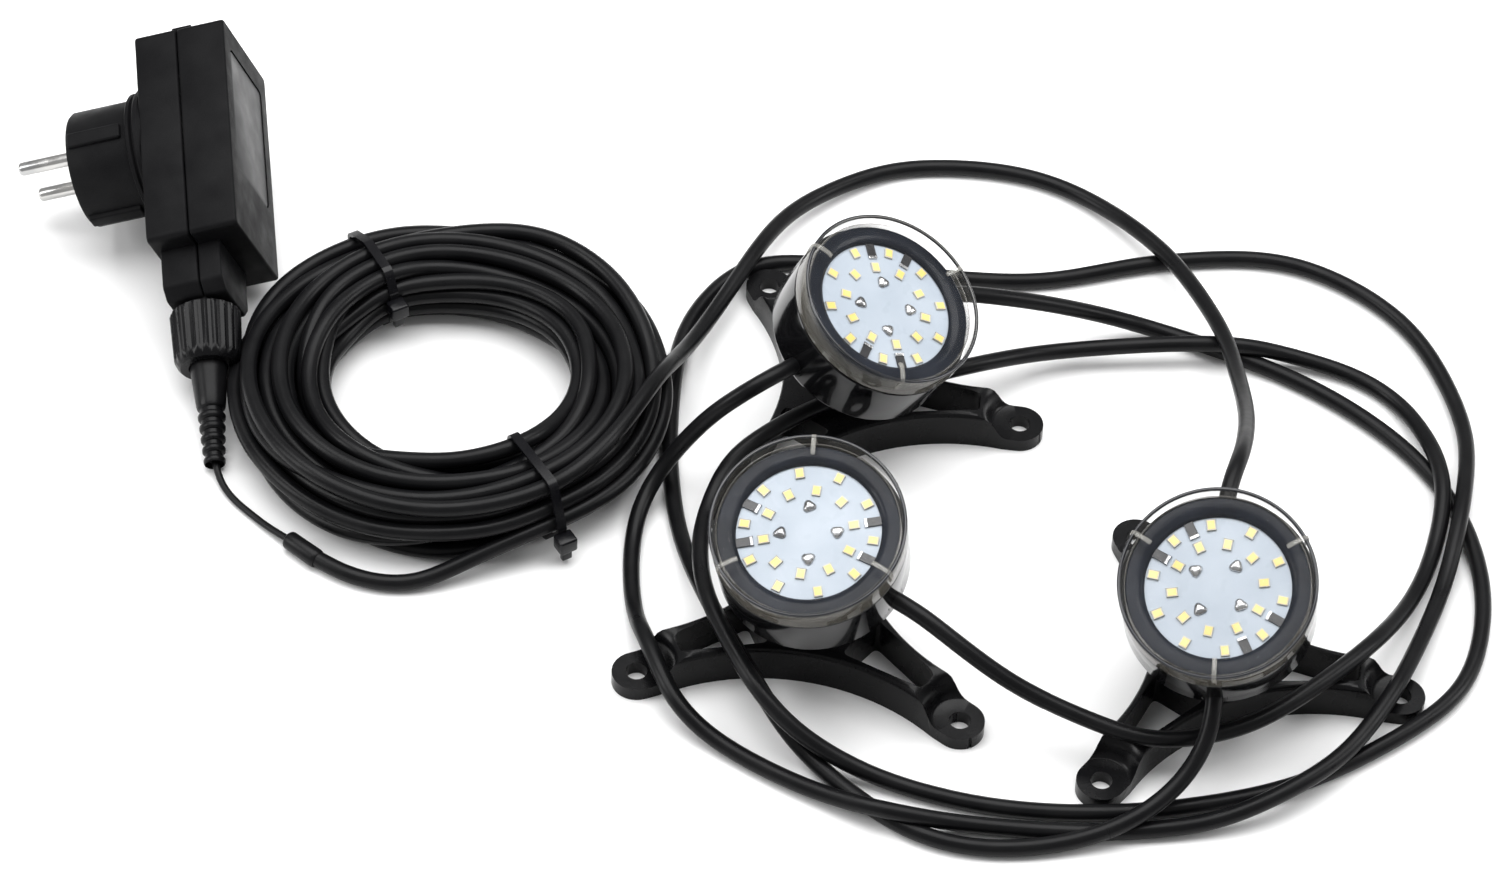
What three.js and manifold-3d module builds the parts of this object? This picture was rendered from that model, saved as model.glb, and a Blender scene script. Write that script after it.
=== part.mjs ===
// Three LED pond spotlights on three-legged brackets, linked by cable, with a
// coiled supply cable and a plug-in power supply. Millimetres, +Z up.
import * as THREE from 'three';
import { mergeVertices } from 'three/addons/utils/BufferGeometryUtils.js';
import Module from 'manifold-3d';

const wasm = await Module();
wasm.setup();

// ---------------------------------------------------------------- dimensions
const GAP = 0.3;                    // clearance between touching pieces
const ROUND = 24;                   // sides of a turned piece

const CABLE = 5.6;                  // thick cable, outside diameter
const LEAD = 2.4;                   // thin lead, outside diameter

const FOOT_REACH = 60.5;            // lamp centre to a foot hole
const FOOT_RADIUS = 8;
const FOOT_HOLE = 3.5;
const FOOT_THICK = 5;
const BRACKET_HEIGHT = 14;
const BRACKET_WAIST = 20;           // lamp centre to the side wall between two legs
const HUB_HOLE = 3.4;

const BALL_HEIGHT = 30.6;           // ball centre above the ground
const BALL_RADIUS = 6.9;
const STUD_RADIUS = 3;

const HEAD_BACK = 8.2;              // distances along the head's axis from the ball centre
const BOARD_AT = 30;
const HOUSING_FRONT = 31.8;
const CAP_BACK = 29;
const CAP_FRONT = 38;
const HOUSING_RADIUS = 31.1;
const RIM_RADIUS = 29;              // front of the housing, inside the cap's skirt
const CAP_RADIUS = 31.3;
const WINDOW_RADIUS = 23;           // inner edge of the black ring over the board
const GLAND_AT = 13.5;
const GLAND_RADIUS = 4.4;
const GLAND_END = 30.7;             // flush with the housing's wall
const CABLE_END = 29.5;             // cables stop inside the glands

// Brings the middle of the three lamps' bounding box over the origin.
const RECENTRE = new THREE.Vector3(1.594, 0.215, 0);

// Each lamp: bracket centre, turn of the bracket, compass direction the head
// leans to, lean from upright, and the turn of ports, board and cap about the
// head's own axis, counted from the leaning direction. Degrees.
const LAMPS = [
  { x: -61, y: 51.5, leg: -5, toward: -25.9, lean: 26.1, ports: 68, board: 126, cap: 66 },
  { x: -68, y: -47.4, leg: -38.1, toward: -108.5, lean: 19.1, ports: 78, board: 108.5, cap: 195.5 },
  { x: 61, y: -58.7, leg: -7.3, toward: -106.8, lean: 25.7, ports: 13, board: 66.8, cap: 133.8 },
];

// Power supply, in its own frame: x across, y along towards the lead, z away
// from the mains plug. It rests tilted on an edge, on its pins and on the lead's
// boot, so the directions of its y and z axes are given as they lie in the room.
const SUPPLY_BOX = [45, 80.4, 32];
const LABEL = [33, 47];
const SEAM = -1.2;
const SHELL_WALL = 2.2;
const OUTLET = { half: 14, back: -15, front: 7, end: 58, middle: -4 };
const PIN_SPACING = 19;
const PLUG_SHIFT = -6;              // plug's middle, off the box's middle and away from the lead
const PIN_RADIUS = 2.4;
const NUT_END = 80;
const BOOT_END = 114.5;
const SUPPLY_REST = {
  at: [-280.6, 123.7, 37],
  towardsLead: [0.142, -0.95, -0.277],
  awayFromPlug: [0.956, 0.059, 0.287],
};

// Coiled supply cable.
const COIL = { x: -191.7, y: 45, inner: 39.5, outer: 71.5, floor: 2.2, top: 24.4 };
const TIES = [{ turn: 122 }, { turn: -57 }];

// Cable routes over the ground: middle of the cable, height last.
const THIN_LEAD = [
  [-268.8, 19, 5.4], [-268.1, 14.6, 4.1], [-266.2, 8, 2.3], [-261, 0, 1.6], [-254, -6.5, 1.6],
  [-247.5, -12.8, 2], [-242, -17.3, 3.3], [-238.8, -19.8, 3.3],
];
const CABLE_START = [
  [-231.6, -25.6, 3.3], [-226.2, -30, 3.2], [-218, -34, 3.1], [-208, -35.9, 3.1],
  [-197, -36, 3.1], [-186, -35.4, 3.1], [-175, -33.6, 3.1],
];
const SUPPLY_RUN = [
  [-140, 4, 28], [-132, 18, 27.6], [-122, 42, 26], [-115.5, 62, 15], [-108, 82, 9],
  [-98, 104, 9.6], [-89, 125, 9], [-77, 145, 6.4], [-46, 168, 3.2], [-25, 171, 3.2],
  [-5, 170, 3.2], [12, 165, 3.2], [28, 154, 4], [41, 138, 8], [52, 123, 9.6], [68, 83, 15],
  [71, 61, 20], [72.1, 32.2, 32], [69.5, 4.8, 48.5], [66.6, -13.1, 58], [64, -22.6, 60.6],
];
const LINK_1 = [
  [56.5, -102.9, 21.8], [53.3, -108.2, 17.2], [48.5, -113.6, 13], [41.8, -119.3, 10.2],
  [33, -126, 8.8], [20, -130, 4.6], [-8, -135, 3.2], [-34, -130, 3.2], [-71, -99, 5],
  [-88, -78, 16.8], [-102, -49, 16.5], [-113, -8, 4], [-117, 20, 3.2], [-118, 48, 3.2],
  [-114, 88, 3.2], [-97, 115, 3.2], [-84, 120, 3.2], [-31, 116, 3.2], [7, 116, 3.2],
  [49, 128, 3.2], [94, 130, 3.2], [131, 104, 3.2], [149, 56, 3.9], [147.5, 26, 8], [143.5, 4, 9],
  [138, -18, 4.8], [118, -70, 11], [110, -83, 9.4], [101, -95.5, 8.6], [87, -108, 9],
  [73, -117, 8.4], [60, -121.5, 5], [24, -126.5, 3.2], [-23, -126, 4.5], [-42, -126, 8.7],
  [-58, -119, 4.8], [-78, -109, 3.5], [-101, -94, 4.2], [-112, -85, 9.8], [-118, -71, 11.8],
  [-123, -58, 11.6], [-125.5, -47, 4.6], [-128, -28, 3.3], [-128, -10, 3.2], [-126, 3, 6], [-120, 13.3, 11],
  [-112.7, 16.2, 21.5], [-103.8, 16.7, 34.5], [-96.5, 15.6, 43.5], [-89.8, 17.3, 48.3],
];
const LINK_2 = [
  [-17, 78, 33.5], [5, 84, 25], [24, 91, 14], [41, 95, 5], [82, 80, 3.2], [108, 64, 3.2],
  [132, 40, 3.2], [146, 13, 3.2], [151, -22, 3.2], [144, -56, 3.2], [133, -71, 3.2],
  [91, -101.5, 3.2], [59, -113, 3.2], [21, -119, 3.2], [-17, -117, 3.2], [-52, -107, 5], [-76, -98, 16], [-86, -89, 22.6],
  [-93, -75.5, 23], [-100, -60, 23], [-104, -47, 22.6], [-105, -8, 11], [-97, 14, 16.5],
  [-90, 21, 17.6], [-68, 39.6, 17.4], [-53, 46, 17.4], [-22, 59, 17.3], [11, 77, 8.8],
  [74, 84, 8.8], [95, 83, 4.5], [114, 77, 3.2], [128, 65, 3.2], [140, 26, 8.8], [135, -5, 4.3],
  [126, -28, 6.5], [112, -54, 16.5], [104, -63.5, 17.6], [80, -85.5, 17.6], [66, -93, 15.8],
  [52, -97, 15.6], [37, -100, 17.4], [23, -95, 18.2], [11, -91.3, 20.5],
  [-1, -87.9, 24.5], [-7.5, -85.9, 27.5], [-14, -83, 30.5], [-20.2, -80.2, 34], [-26.5, -77.4, 37.3],
];

const PLASTIC = { color: 0x1b1a1c, roughness: 0.45, metalness: 0 };
const GLOSS = { color: 0x0e0e10, roughness: 0.12, metalness: 0 };
const CLEAR = { color: 0xf2f4f4, roughness: 0.05, metalness: 0, transparent: true, opacity: 0.35 };
const WHITE = { color: 0xe6eaee, roughness: 0.5, metalness: 0 };
const STEEL = { color: 0xb9bcbf, roughness: 0.3, metalness: 1 };
const RUBBER = { color: 0x2c2b2d, roughness: 0.6, metalness: 0 };
const COPPER = { color: 0x9c5a34, roughness: 0.4, metalness: 1 };
const RESIN = { color: 0x24211f, roughness: 0.4, metalness: 0 };

const object = new THREE.Group();
const degrees = THREE.MathUtils.degToRad;

// ------------------------------------------------------------------- helpers
function addMesh(parent, name, geometry, look) {
  const mesh = new THREE.Mesh(geometry, new THREE.MeshStandardMaterial(look));
  mesh.name = name;
  parent.add(mesh);
  return mesh;
}

// A closed profile of [radius, height] points turned about Z.
function turned(profile, sides = ROUND) {
  const points = profile.map(([r, z]) => new THREE.Vector2(r, z));
  const closed = profile[0][0] > 0 || profile.at(-1)[0] > 0;
  if (closed) points.push(points[0].clone());
  return new THREE.LatheGeometry(points, sides).rotateX(Math.PI / 2);
}

function cylinder(radius, from, to, sides = ROUND) {
  return turned([[0, from], [radius, from], [radius, to], [0, to]], sides);
}

function block(sx, sy, sz, x = 0, y = 0, z = 0) {
  return new THREE.BoxGeometry(sx, sy, sz).translate(x, y, z);
}

function arcPoints(radius, fromDeg, toDeg, steps, centreR = 0, centreZ = 0) {
  return Array.from({ length: steps + 1 }, (_, i) => {
    const angle = degrees(fromDeg + ((toDeg - fromDeg) * i) / steps);
    return [centreR + radius * Math.cos(angle), centreZ + radius * Math.sin(angle)];
  });
}

function toManifold(geometry) {
  const bare = geometry.clone();
  bare.deleteAttribute('normal');
  bare.deleteAttribute('uv');
  const merged = mergeVertices(bare, 1e-4);
  return new wasm.Manifold(new wasm.Mesh({
    numProp: 3,
    vertProperties: new Float32Array(merged.attributes.position.array),
    triVerts: new Uint32Array(merged.index.array),
  }));
}

function fromManifold(solid) {
  const mesh = solid.getMesh();
  const geometry = new THREE.BufferGeometry();
  geometry.setAttribute('position', new THREE.BufferAttribute(mesh.vertProperties, 3));
  geometry.setIndex(new THREE.BufferAttribute(mesh.triVerts, 1));
  geometry.computeVertexNormals();
  return geometry;
}

function join(...geometries) {
  return fromManifold(geometries.map(toManifold).reduce((a, b) => a.add(b)));
}

function cut(base, ...tools) {
  return fromManifold([base, ...tools].map(toManifold).reduce((a, b) => a.subtract(b)));
}

function keepInside(base, tool) {
  return fromManifold(toManifold(base).intersect(toManifold(tool)));
}

// A round tube along smooth route points, about two diameters to a step.
function tube(route, diameter, sides = 8) {
  const curve = new THREE.CatmullRomCurve3(
    route.map(([x, y, z]) => new THREE.Vector3(x, y, z)), false, 'centripetal');
  const steps = Math.min(80, Math.ceil(curve.getLength() / (2.4 * diameter)));
  const section = new THREE.Shape();
  for (let i = 0; i < sides; i += 1) {
    const angle = (2 * Math.PI * i) / sides;
    const x = (diameter / 2) * Math.cos(angle);
    const y = (diameter / 2) * Math.sin(angle);
    if (i === 0) section.moveTo(x, y);
    else section.lineTo(x, y);
  }
  section.closePath();
  return new THREE.ExtrudeGeometry(section, { steps, extrudePath: curve, bevelEnabled: false });
}

// ------------------------------------------------------------------- bracket
function polar(radius, deg) {
  return [radius * Math.cos(degrees(deg)), radius * Math.sin(degrees(deg))];
}

// Plan outline: three round feet joined by hollowed side walls.
function bracketOutline() {
  const shape = new THREE.Shape();
  const [fx, fy] = [FOOT_REACH - 5, FOOT_RADIUS];
  const apart = degrees(60) - Math.atan2(fy, fx);
  const reach = Math.hypot(fx, fy);
  const [u, v] = [reach * Math.cos(apart), reach * Math.sin(apart)];
  const centre = (u * u + v * v - BRACKET_WAIST ** 2) / (2 * (u - BRACKET_WAIST));
  const wallRadius = centre - BRACKET_WAIST;
  for (let leg = 0; leg < 3; leg += 1) {
    const turn = 120 * leg;
    for (let a = -90; a <= 90; a += 22.5) {
      const [lx, ly] = polar(FOOT_RADIUS, a);
      const [x, y] = polar(Math.hypot(FOOT_REACH + lx, ly),
        turn + THREE.MathUtils.radToDeg(Math.atan2(ly, FOOT_REACH + lx)));
      if (leg === 0 && a === -90) shape.moveTo(x, y);
      else shape.lineTo(x, y);
    }
    const spread = THREE.MathUtils.radToDeg(Math.asin(v / wallRadius));
    for (let a = -spread; a <= spread + 1e-6; a += spread / 5) {
      const wx = centre - wallRadius * Math.cos(degrees(a));
      const wy = wallRadius * Math.sin(degrees(a));
      shape.lineTo(...polar(Math.hypot(wx, wy),
        turn + 60 + THREE.MathUtils.radToDeg(Math.atan2(wy, wx))));
    }
  }
  shape.closePath();
  return shape;
}

// Triangular window in a leg, its narrow rounded end towards the foot.
function legWindow() {
  const shape = new THREE.Shape();
  shape.moveTo(21, -8.9);
  shape.lineTo(44.3, -4.3);
  shape.lineTo(46.8, -2.2);
  shape.lineTo(46.8, 2.2);
  shape.lineTo(44.3, 4.3);
  shape.lineTo(21, 8.9);
  shape.lineTo(19, 7.2);
  shape.lineTo(19, -7.2);
  shape.closePath();
  const geometry = new THREE.ExtrudeGeometry(shape, { depth: 30, bevelEnabled: false });
  return geometry.translate(0, 0, -5);
}

// Room over a foot: a flat seat round the hole with a curved step up to the leg.
function footRoom() {
  const top = BRACKET_HEIGHT + 3;
  return turned([
    [0, FOOT_THICK], [8.6, FOOT_THICK], [9.6, 5.8], [10.6, 8.6], [12, 11.6],
    [14.5, 13.2], [18, 13.8], [18, top], [0, top],
  ], 20).translate(FOOT_REACH, 0, 0);
}

function bracketGeometry() {
  const edge = 2;
  const shape = bracketOutline();
  const body = new THREE.ExtrudeGeometry(shape, {
    depth: BRACKET_HEIGHT - edge + 4,
    bevelEnabled: true,
    bevelThickness: edge,
    bevelSize: edge,
    bevelOffset: -edge,
    bevelSegments: 2,
  }).translate(0, 0, -4);
  const tools = [
    block(200, 200, 20, 0, 0, -10),
    cylinder(HUB_HOLE, -5, 30, 16),
    turned([[0, -5], [14, -5], [14, 9], [12, 10.5], [0, 10.5]], 24),
  ];
  for (const turn of [0, 120, 240]) {
    const angle = degrees(turn);
    tools.push(legWindow().rotateZ(angle));
    tools.push(footRoom().rotateZ(angle));
    tools.push(cylinder(FOOT_HOLE, -5, 30, 16).translate(FOOT_REACH, 0, 0).rotateZ(angle));
  }
  return cut(body, ...tools);
}

function studGeometry() {
  return join(
    turned([
      [0, 3], [2.9, 3], [2.9, 14.3], [5, 14.3], [5, 16], [STUD_RADIUS, 16.6],
      [STUD_RADIUS, BALL_HEIGHT - 5], [0, BALL_HEIGHT - 5],
    ], 16),
    new THREE.SphereGeometry(BALL_RADIUS, 12, 8).rotateX(Math.PI / 2)
      .translate(0, 0, BALL_HEIGHT),
  );
}

function nutGeometry(across, hole, from, to) {
  return cut(cylinder(across / Math.sqrt(3), from, to, 6), cylinder(hole, from - 1, to + 1, 16));
}

// ---------------------------------------------------------------------- head
// Every head piece is made round the head's own axis, ball centre at the origin.
function housingGeometry() {
  const shell = turned([
    [0, 0.9], [9, 0.9], [9, HEAD_BACK], [29.3, HEAD_BACK], [30.4, HEAD_BACK + 0.4],
    [HOUSING_RADIUS - 0.2, HEAD_BACK + 1.4], [HOUSING_RADIUS, 28.1], [28.4, 28.1],
    [RIM_RADIUS, 28.8], [RIM_RADIUS, HOUSING_FRONT], [27.2, HOUSING_FRONT],
    [27.2, BOARD_AT - 0.3], [25.6, BOARD_AT - 0.3], [25.6, 13.4], [21, 10.6], [0, 10.6],
  ]);
  const socket = turned([[0, -7.6], ...arcPoints(7.6, -72, 72, 6), [0, 7.6]], 12);
  const holes = [0, 180].map((turn) => cylinder(GLAND_RADIUS + GAP, 20, 40, 12)
    .rotateY(Math.PI / 2).translate(0, 0, GLAND_AT).rotateZ(degrees(turn)));
  return cut(shell, socket, ...holes);
}

function clampRingGeometry() {
  const lip = arcPoints(7.2, 4, -22, 4).filter(([, z]) => z <= 0.55);
  return turned([
    [9.3, 6.3], [9.3, 0.6], ...lip, [10.2, -3], [11.6, -1.8], [11.6, 5.8], [11.1, 6.3],
  ]);
}

function capGeometry(turn) {
  const cup = turned([
    [0, 35.4], [28.4, 35.4], [29.3, 34.6], [29.3, CAP_BACK], [CAP_RADIUS, CAP_BACK],
    [CAP_RADIUS, 36.9], [30.3, CAP_FRONT], [0, CAP_FRONT],
  ], 32);
  const ribs = [0, 120, 240].map((a) => join(
    block(7.4, 1.5, 1.2, 28.2, 0, 38.1),
    block(1.2, 1.5, 6.5, 31.5, 0, 35.4),
  ).rotateZ(degrees(a + turn)));
  return join(cup, ...ribs);
}

function sealGeometry() {
  return turned([[29.3, 28.35], [30.8, 28.35], [30.8, 28.75], [29.3, 28.75]]);
}

function bezelGeometry() {
  return turned([
    [WINDOW_RADIUS, 32.2], [28.9, 32.2], [28.9, 33.4], [24.4, 33.4],
  ]);
}

function boardGeometry(turn) {
  const top = BOARD_AT + 1.6;
  const pieces = [cylinder(26.8, BOARD_AT, top, 24)];
  for (let i = 0; i < 10; i += 1) {
    pieces.push(block(3.5, 2.8, 0.8, 20.6, 0, top + 0.2).rotateZ(degrees(27 + 36 * i + turn)));
    pieces.push(block(3.5, 2.8, 0.8, 14.4, 0, top + 0.2).rotateZ(degrees(9 + 36 * i + turn)));
  }
  return join(...pieces);
}

function glandGeometry(blank) {
  const body = turned([
    [0, 25.9], [GLAND_RADIUS, 25.9], [GLAND_RADIUS, GLAND_END - 0.4],
    [GLAND_RADIUS - 0.4, GLAND_END], [0, GLAND_END],
  ], 12);
  const drilled = blank ? body : cut(body, cylinder(CABLE / 2 + 0.5, 28, 40, 12));
  return drilled.rotateY(Math.PI / 2).translate(0, 0, GLAND_AT);
}

function addLamp(number, lamp) {
  const tag = `lamp_${number}`;
  const stand = new THREE.Group();
  stand.position.set(lamp.x, lamp.y, 0);
  object.add(stand);

  const bracket = addMesh(stand, `${tag}_bracket`, bracketGeometry(), PLASTIC);
  bracket.rotation.z = degrees(lamp.leg);
  addMesh(stand, `${tag}_ball_stud`, studGeometry(), PLASTIC);
  addMesh(stand, `${tag}_stud_nut`, nutGeometry(9, 3.1, 5.6, 10.2), STEEL);

  const direction = new THREE.Group();
  direction.position.z = BALL_HEIGHT;
  direction.rotation.z = degrees(lamp.toward);
  stand.add(direction);
  const head = new THREE.Group();
  head.rotation.y = degrees(lamp.lean);
  direction.add(head);

  addMesh(head, `${tag}_clamp_ring`, clampRingGeometry(), PLASTIC);
  const ports = new THREE.Group();
  ports.rotation.z = degrees(lamp.ports);
  head.add(ports);
  addMesh(ports, `${tag}_housing`, housingGeometry(), GLOSS);
  addMesh(ports, `${tag}_gland_in`, glandGeometry(false), PLASTIC);
  const out = addMesh(ports, `${tag}_gland_out`, glandGeometry(number === 2), PLASTIC);
  out.rotation.z = Math.PI;
  addMesh(head, `${tag}_potting`, cylinder(25.2, 13.8, BOARD_AT - 0.4), RESIN);
  addMesh(head, `${tag}_light_board`, boardGeometry(lamp.board), WHITE);
  addMesh(head, `${tag}_inner_ring`, bezelGeometry(), PLASTIC);
  addMesh(head, `${tag}_seal`, sealGeometry(), RUBBER);
  addMesh(head, `${tag}_front_cap`, capGeometry(lamp.cap), CLEAR);
}

// -------------------------------------------------------------- power supply
function roundedBlock(sx, sy, from, to, corner, edge = 0) {
  const [hx, hy] = [sx / 2 - edge, sy / 2 - edge];
  const shape = new THREE.Shape();
  const corners = [[hx, hy, 0], [-hx, hy, 90], [-hx, -hy, 180], [hx, -hy, 270]];
  corners.forEach(([x, y, start], i) => {
    const [cx, cy] = [x - Math.sign(x) * corner, y - Math.sign(y) * corner];
    for (let a = start; a <= start + 90; a += 30) {
      const [dx, dy] = polar(corner, a);
      if (i === 0 && a === 0) shape.moveTo(cx + dx, cy + dy);
      else shape.lineTo(cx + dx, cy + dy);
    }
  });
  shape.closePath();
  return new THREE.ExtrudeGeometry(shape, {
    depth: to - from - 2 * edge,
    bevelEnabled: edge > 0,
    bevelThickness: edge,
    bevelSize: edge,
    bevelSegments: 2,
  }).translate(0, 0, from + edge);
}

function outletBlock(from, to) {
  const { half, end } = OUTLET;
  const shape = new THREE.Shape();
  shape.moveTo(-half, 36);
  shape.lineTo(half, 36);
  shape.lineTo(half, end - 4);
  shape.lineTo(half - 4, end);
  shape.lineTo(-half + 4, end);
  shape.lineTo(-half, end - 4);
  shape.closePath();
  return new THREE.ExtrudeGeometry(shape, { depth: to - from, bevelEnabled: false })
    .translate(0, 0, from);
}

function alongY(geometry, x, z) {
  return geometry.rotateX(-Math.PI / 2).translate(x, 0, z);
}

function rearShellGeometry() {
  const [sx, sy, sz] = SUPPLY_BOX;
  const back = -sz / 2;
  const plug = turned([
    [0, -44], [18.5, -44], [20, -42.5], [20, -22], [22, -21.5], [22, -19.8], [21, -19.4],
    [23, -18.6], [23, -16.4], [22.3, -16], [22.3, back + 1], [0, back + 1],
  ], 28).translate(0, PLUG_SHIFT, 0);
  const keys = [0, 90, 180, 270].map((turn) => join(
    block(3.4, 5.4, 19, 19.8, 0, -33),
    block(2.4, 7, 14, 19.3, 0, -29),
  ).rotateZ(degrees(turn)).translate(0, PLUG_SHIFT, 0));
  const solid = join(
    roundedBlock(sx, sy, back, SEAM, 1.6, 0.8),
    block(sx - 2, sy - 2, 4, 0, 0, SEAM - 2),
    outletBlock(OUTLET.back + 1, SEAM),
    plug,
    ...keys,
  );
  const tools = [
    roundedBlock(sx - 2 * SHELL_WALL, sy - 2 * SHELL_WALL, back + SHELL_WALL, 5, 1.5),
    block(sx + 2, sy + 2, 10, 0, 0, SEAM + 5),
    alongY(cylinder(9.3, OUTLET.end - 10, OUTLET.end + 10, 24), 0, OUTLET.middle),
    ...[-1, 1].map((side) => cylinder(PIN_RADIUS + GAP, -60, -30, 12)
      .translate(side * PIN_SPACING / 2, PLUG_SHIFT, 0)),
  ];
  return cut(solid, ...tools);
}

function frontShellGeometry() {
  const [sx, sy, sz] = SUPPLY_BOX;
  const front = sz / 2;
  const from = SEAM + GAP;
  const solid = join(
    roundedBlock(sx, sy, from, front, 1.6, 0.8),
    block(sx - 2, sy - 2, 4, 0, 0, from + 2),
    outletBlock(from, OUTLET.front),
    block(8, 1.4, 7, 17, -sy / 2 - 0.3, from + 1.5),
  );
  const tools = [
    roundedBlock(sx - 2 * SHELL_WALL, sy - 2 * SHELL_WALL, -5, front - SHELL_WALL, 1.5),
    block(sx + 2, 2 * sy, 10, 0, 0, from - 5),
    roundedBlock(...LABEL, front - 1.1, front + 2, 3).translate(0, -8, 0),
    alongY(cylinder(9.3, OUTLET.end - 10, OUTLET.end + 10, 24), 0, OUTLET.middle),
  ];
  return cut(solid, ...tools);
}

function outletSocketGeometry() {
  const { end, middle } = OUTLET;
  return alongY(turned([
    [0, end - 9], [9, end - 9], [9, end + 6], [8, end + 7], [5.5, end + 7], [5.5, end + 2],
    [0, end + 2],
  ], 20), 0, middle);
}

function pinGeometry(side) {
  return turned([
    [0, -64], [1.4, -63.7], [PIN_RADIUS, -62], [PIN_RADIUS, -30.3], [0, -30.3],
  ], 12).translate(side * PIN_SPACING / 2, PLUG_SHIFT, 0);
}

function couplingNutGeometry() {
  const ribs = 22;
  const outline = new THREE.Shape();
  for (let i = 0; i < ribs; i += 1) {
    for (const [share, radius] of [[0, 12], [0.45, 12], [0.6, 11.3], [0.85, 11.3]]) {
      const [x, y] = polar(radius, (360 * (i + share)) / ribs);
      if (i === 0 && share === 0) outline.moveTo(x, y);
      else outline.lineTo(x, y);
    }
  }
  outline.closePath();
  const from = OUTLET.end + 1;
  const ribbed = new THREE.ExtrudeGeometry(outline, { depth: 30, bevelEnabled: false })
    .translate(0, 0, from - 2);
  const taper = turned([
    [0, from], [11.4, from], [12.2, from + 2], [11.3, NUT_END - 3], [9, NUT_END], [0, NUT_END],
  ]);
  const bore = turned([
    [0, from - 1], [9.4, from - 1], [9.4, from + 10], [6.6, from + 12.5],
    [6.6, NUT_END + 1], [0, NUT_END + 1],
  ], 24);
  return alongY(cut(keepInside(ribbed, taper), bore), 0, OUTLET.middle);
}

function leadPlugGeometry() {
  const from = OUTLET.end + 7.4;
  const profile = [
    [0, from], [9, from], [9, from + 3], [6.2, from + 5.6], [6.2, NUT_END + 1],
    [5.2, BOOT_END - 22], [4.9, BOOT_END - 20],
  ];
  for (let y = BOOT_END - 18; y < BOOT_END - 2; y += 4) {
    profile.push([4.2, y], [4.2, y + 1.4], [4.9, y + 1.8], [4.8, y + 3.6]);
  }
  profile.push([4.2, BOOT_END], [LEAD / 2 + GAP, BOOT_END], [LEAD / 2 + GAP, BOOT_END - 8],
    [0, BOOT_END - 8]);
  return alongY(turned(profile, 14), 0, OUTLET.middle);
}

function transformerCoreGeometry() {
  return cut(
    block(40, 34, 17, 0, -6, 0),
    block(7, 20, 30, 9.5, -6, 0),
    block(7, 20, 30, -9.5, -6, 0),
  );
}

function windingGeometry() {
  return cut(block(25, 19.4, 22.6, 0, -6, 0), block(12.6, 30, 17.6, 0, -6, 0));
}

function addPowerSupply() {
  const group = new THREE.Group();
  const y = new THREE.Vector3(...SUPPLY_REST.towardsLead).normalize();
  const x = new THREE.Vector3().crossVectors(y, new THREE.Vector3(...SUPPLY_REST.awayFromPlug));
  const z = new THREE.Vector3().crossVectors(x.normalize(), y);
  group.quaternion.setFromRotationMatrix(new THREE.Matrix4().makeBasis(x, y, z));
  group.position.set(...SUPPLY_REST.at);
  const front = SUPPLY_BOX[2] / 2;
  object.add(group);
  addMesh(group, 'supply_rear_shell', rearShellGeometry(), PLASTIC);
  addMesh(group, 'supply_front_shell', frontShellGeometry(), PLASTIC);
  addMesh(group, 'supply_label_plate',
    roundedBlock(LABEL[0] - 0.6, LABEL[1] - 0.6, front - 0.8, front - 0.1, 2.7)
      .translate(0, -8, 0), PLASTIC);
  addMesh(group, 'supply_pin_1', pinGeometry(-1), STEEL);
  addMesh(group, 'supply_pin_2', pinGeometry(1), STEEL);
  addMesh(group, 'supply_transformer_core', transformerCoreGeometry(), STEEL);
  addMesh(group, 'supply_transformer_winding', windingGeometry(), COPPER);
  addMesh(group, 'supply_outlet_socket', outletSocketGeometry(), PLASTIC);
  addMesh(group, 'coupling_nut', couplingNutGeometry(), PLASTIC);
  addMesh(group, 'lead_plug', leadPlugGeometry(), RUBBER);
}

// --------------------------------------------------------------------- cables
// Outline of the coil's section, grown by a margin.
function coilSection(margin) {
  const { inner, outer, floor, top } = COIL;
  const [cx, cz] = [(inner + outer) / 2, (floor + top) / 2];
  const [hx, hz] = [(outer - inner) / 2 + margin, (top - floor) / 2 + margin];
  return Array.from({ length: 12 }, (_, i) => {
    const angle = degrees(30 * i + 15);
    const squash = (v) => Math.sign(v) * Math.abs(v) ** 0.75;
    return [cx + hx * squash(Math.cos(angle)), cz + hz * squash(Math.sin(angle))];
  });
}

function tieGeometry({ turn }) {
  const band = new THREE.Shape(coilSection(2.2).map(([r, z]) => new THREE.Vector2(r, z)));
  band.holes.push(new THREE.Path(coilSection(1).map(([r, z]) => new THREE.Vector2(r, z))));
  const loop = new THREE.ExtrudeGeometry(band, { depth: 3.2, bevelEnabled: false })
    .translate(0, 0, -1.6).rotateX(Math.PI / 2);
  const lock = block(5, 7, 6.4, COIL.inner - 3.6, 0, 16);
  return join(loop, lock).rotateZ(degrees(turn));
}

// Short sleeve over the splice between the thin lead and the thick cable.
function sleeveGeometry() {
  const half = 7;
  const sleeve = cut(
    turned([[0, -half], [2.6, -half], [3.3, 1 - half], [3.3, half], [0, half]], 12),
    cylinder(LEAD / 2 + GAP, -half - 1, 1 - half + 2, 10),
    cylinder(CABLE / 2 + 0.2, half - 3, half + 1, 10),
  );
  return sleeve.rotateY(Math.PI / 2).rotateZ(degrees(-39)).translate(-235.5, -22.5, 3.3);
}

// A point on the line of a cable entry: lamp number, turn of the entry about
// the head's axis, and distance out from that axis.
function entryPoint(number, turn, reach) {
  const lamp = LAMPS[number - 1];
  return new THREE.Vector3(...polar(reach, turn), GLAND_AT)
    .applyAxisAngle(new THREE.Vector3(0, 1, 0), degrees(lamp.lean))
    .applyAxisAngle(new THREE.Vector3(0, 0, 1), degrees(lamp.toward))
    .add(new THREE.Vector3(lamp.x, lamp.y, BALL_HEIGHT))
    .toArray();
}

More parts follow.
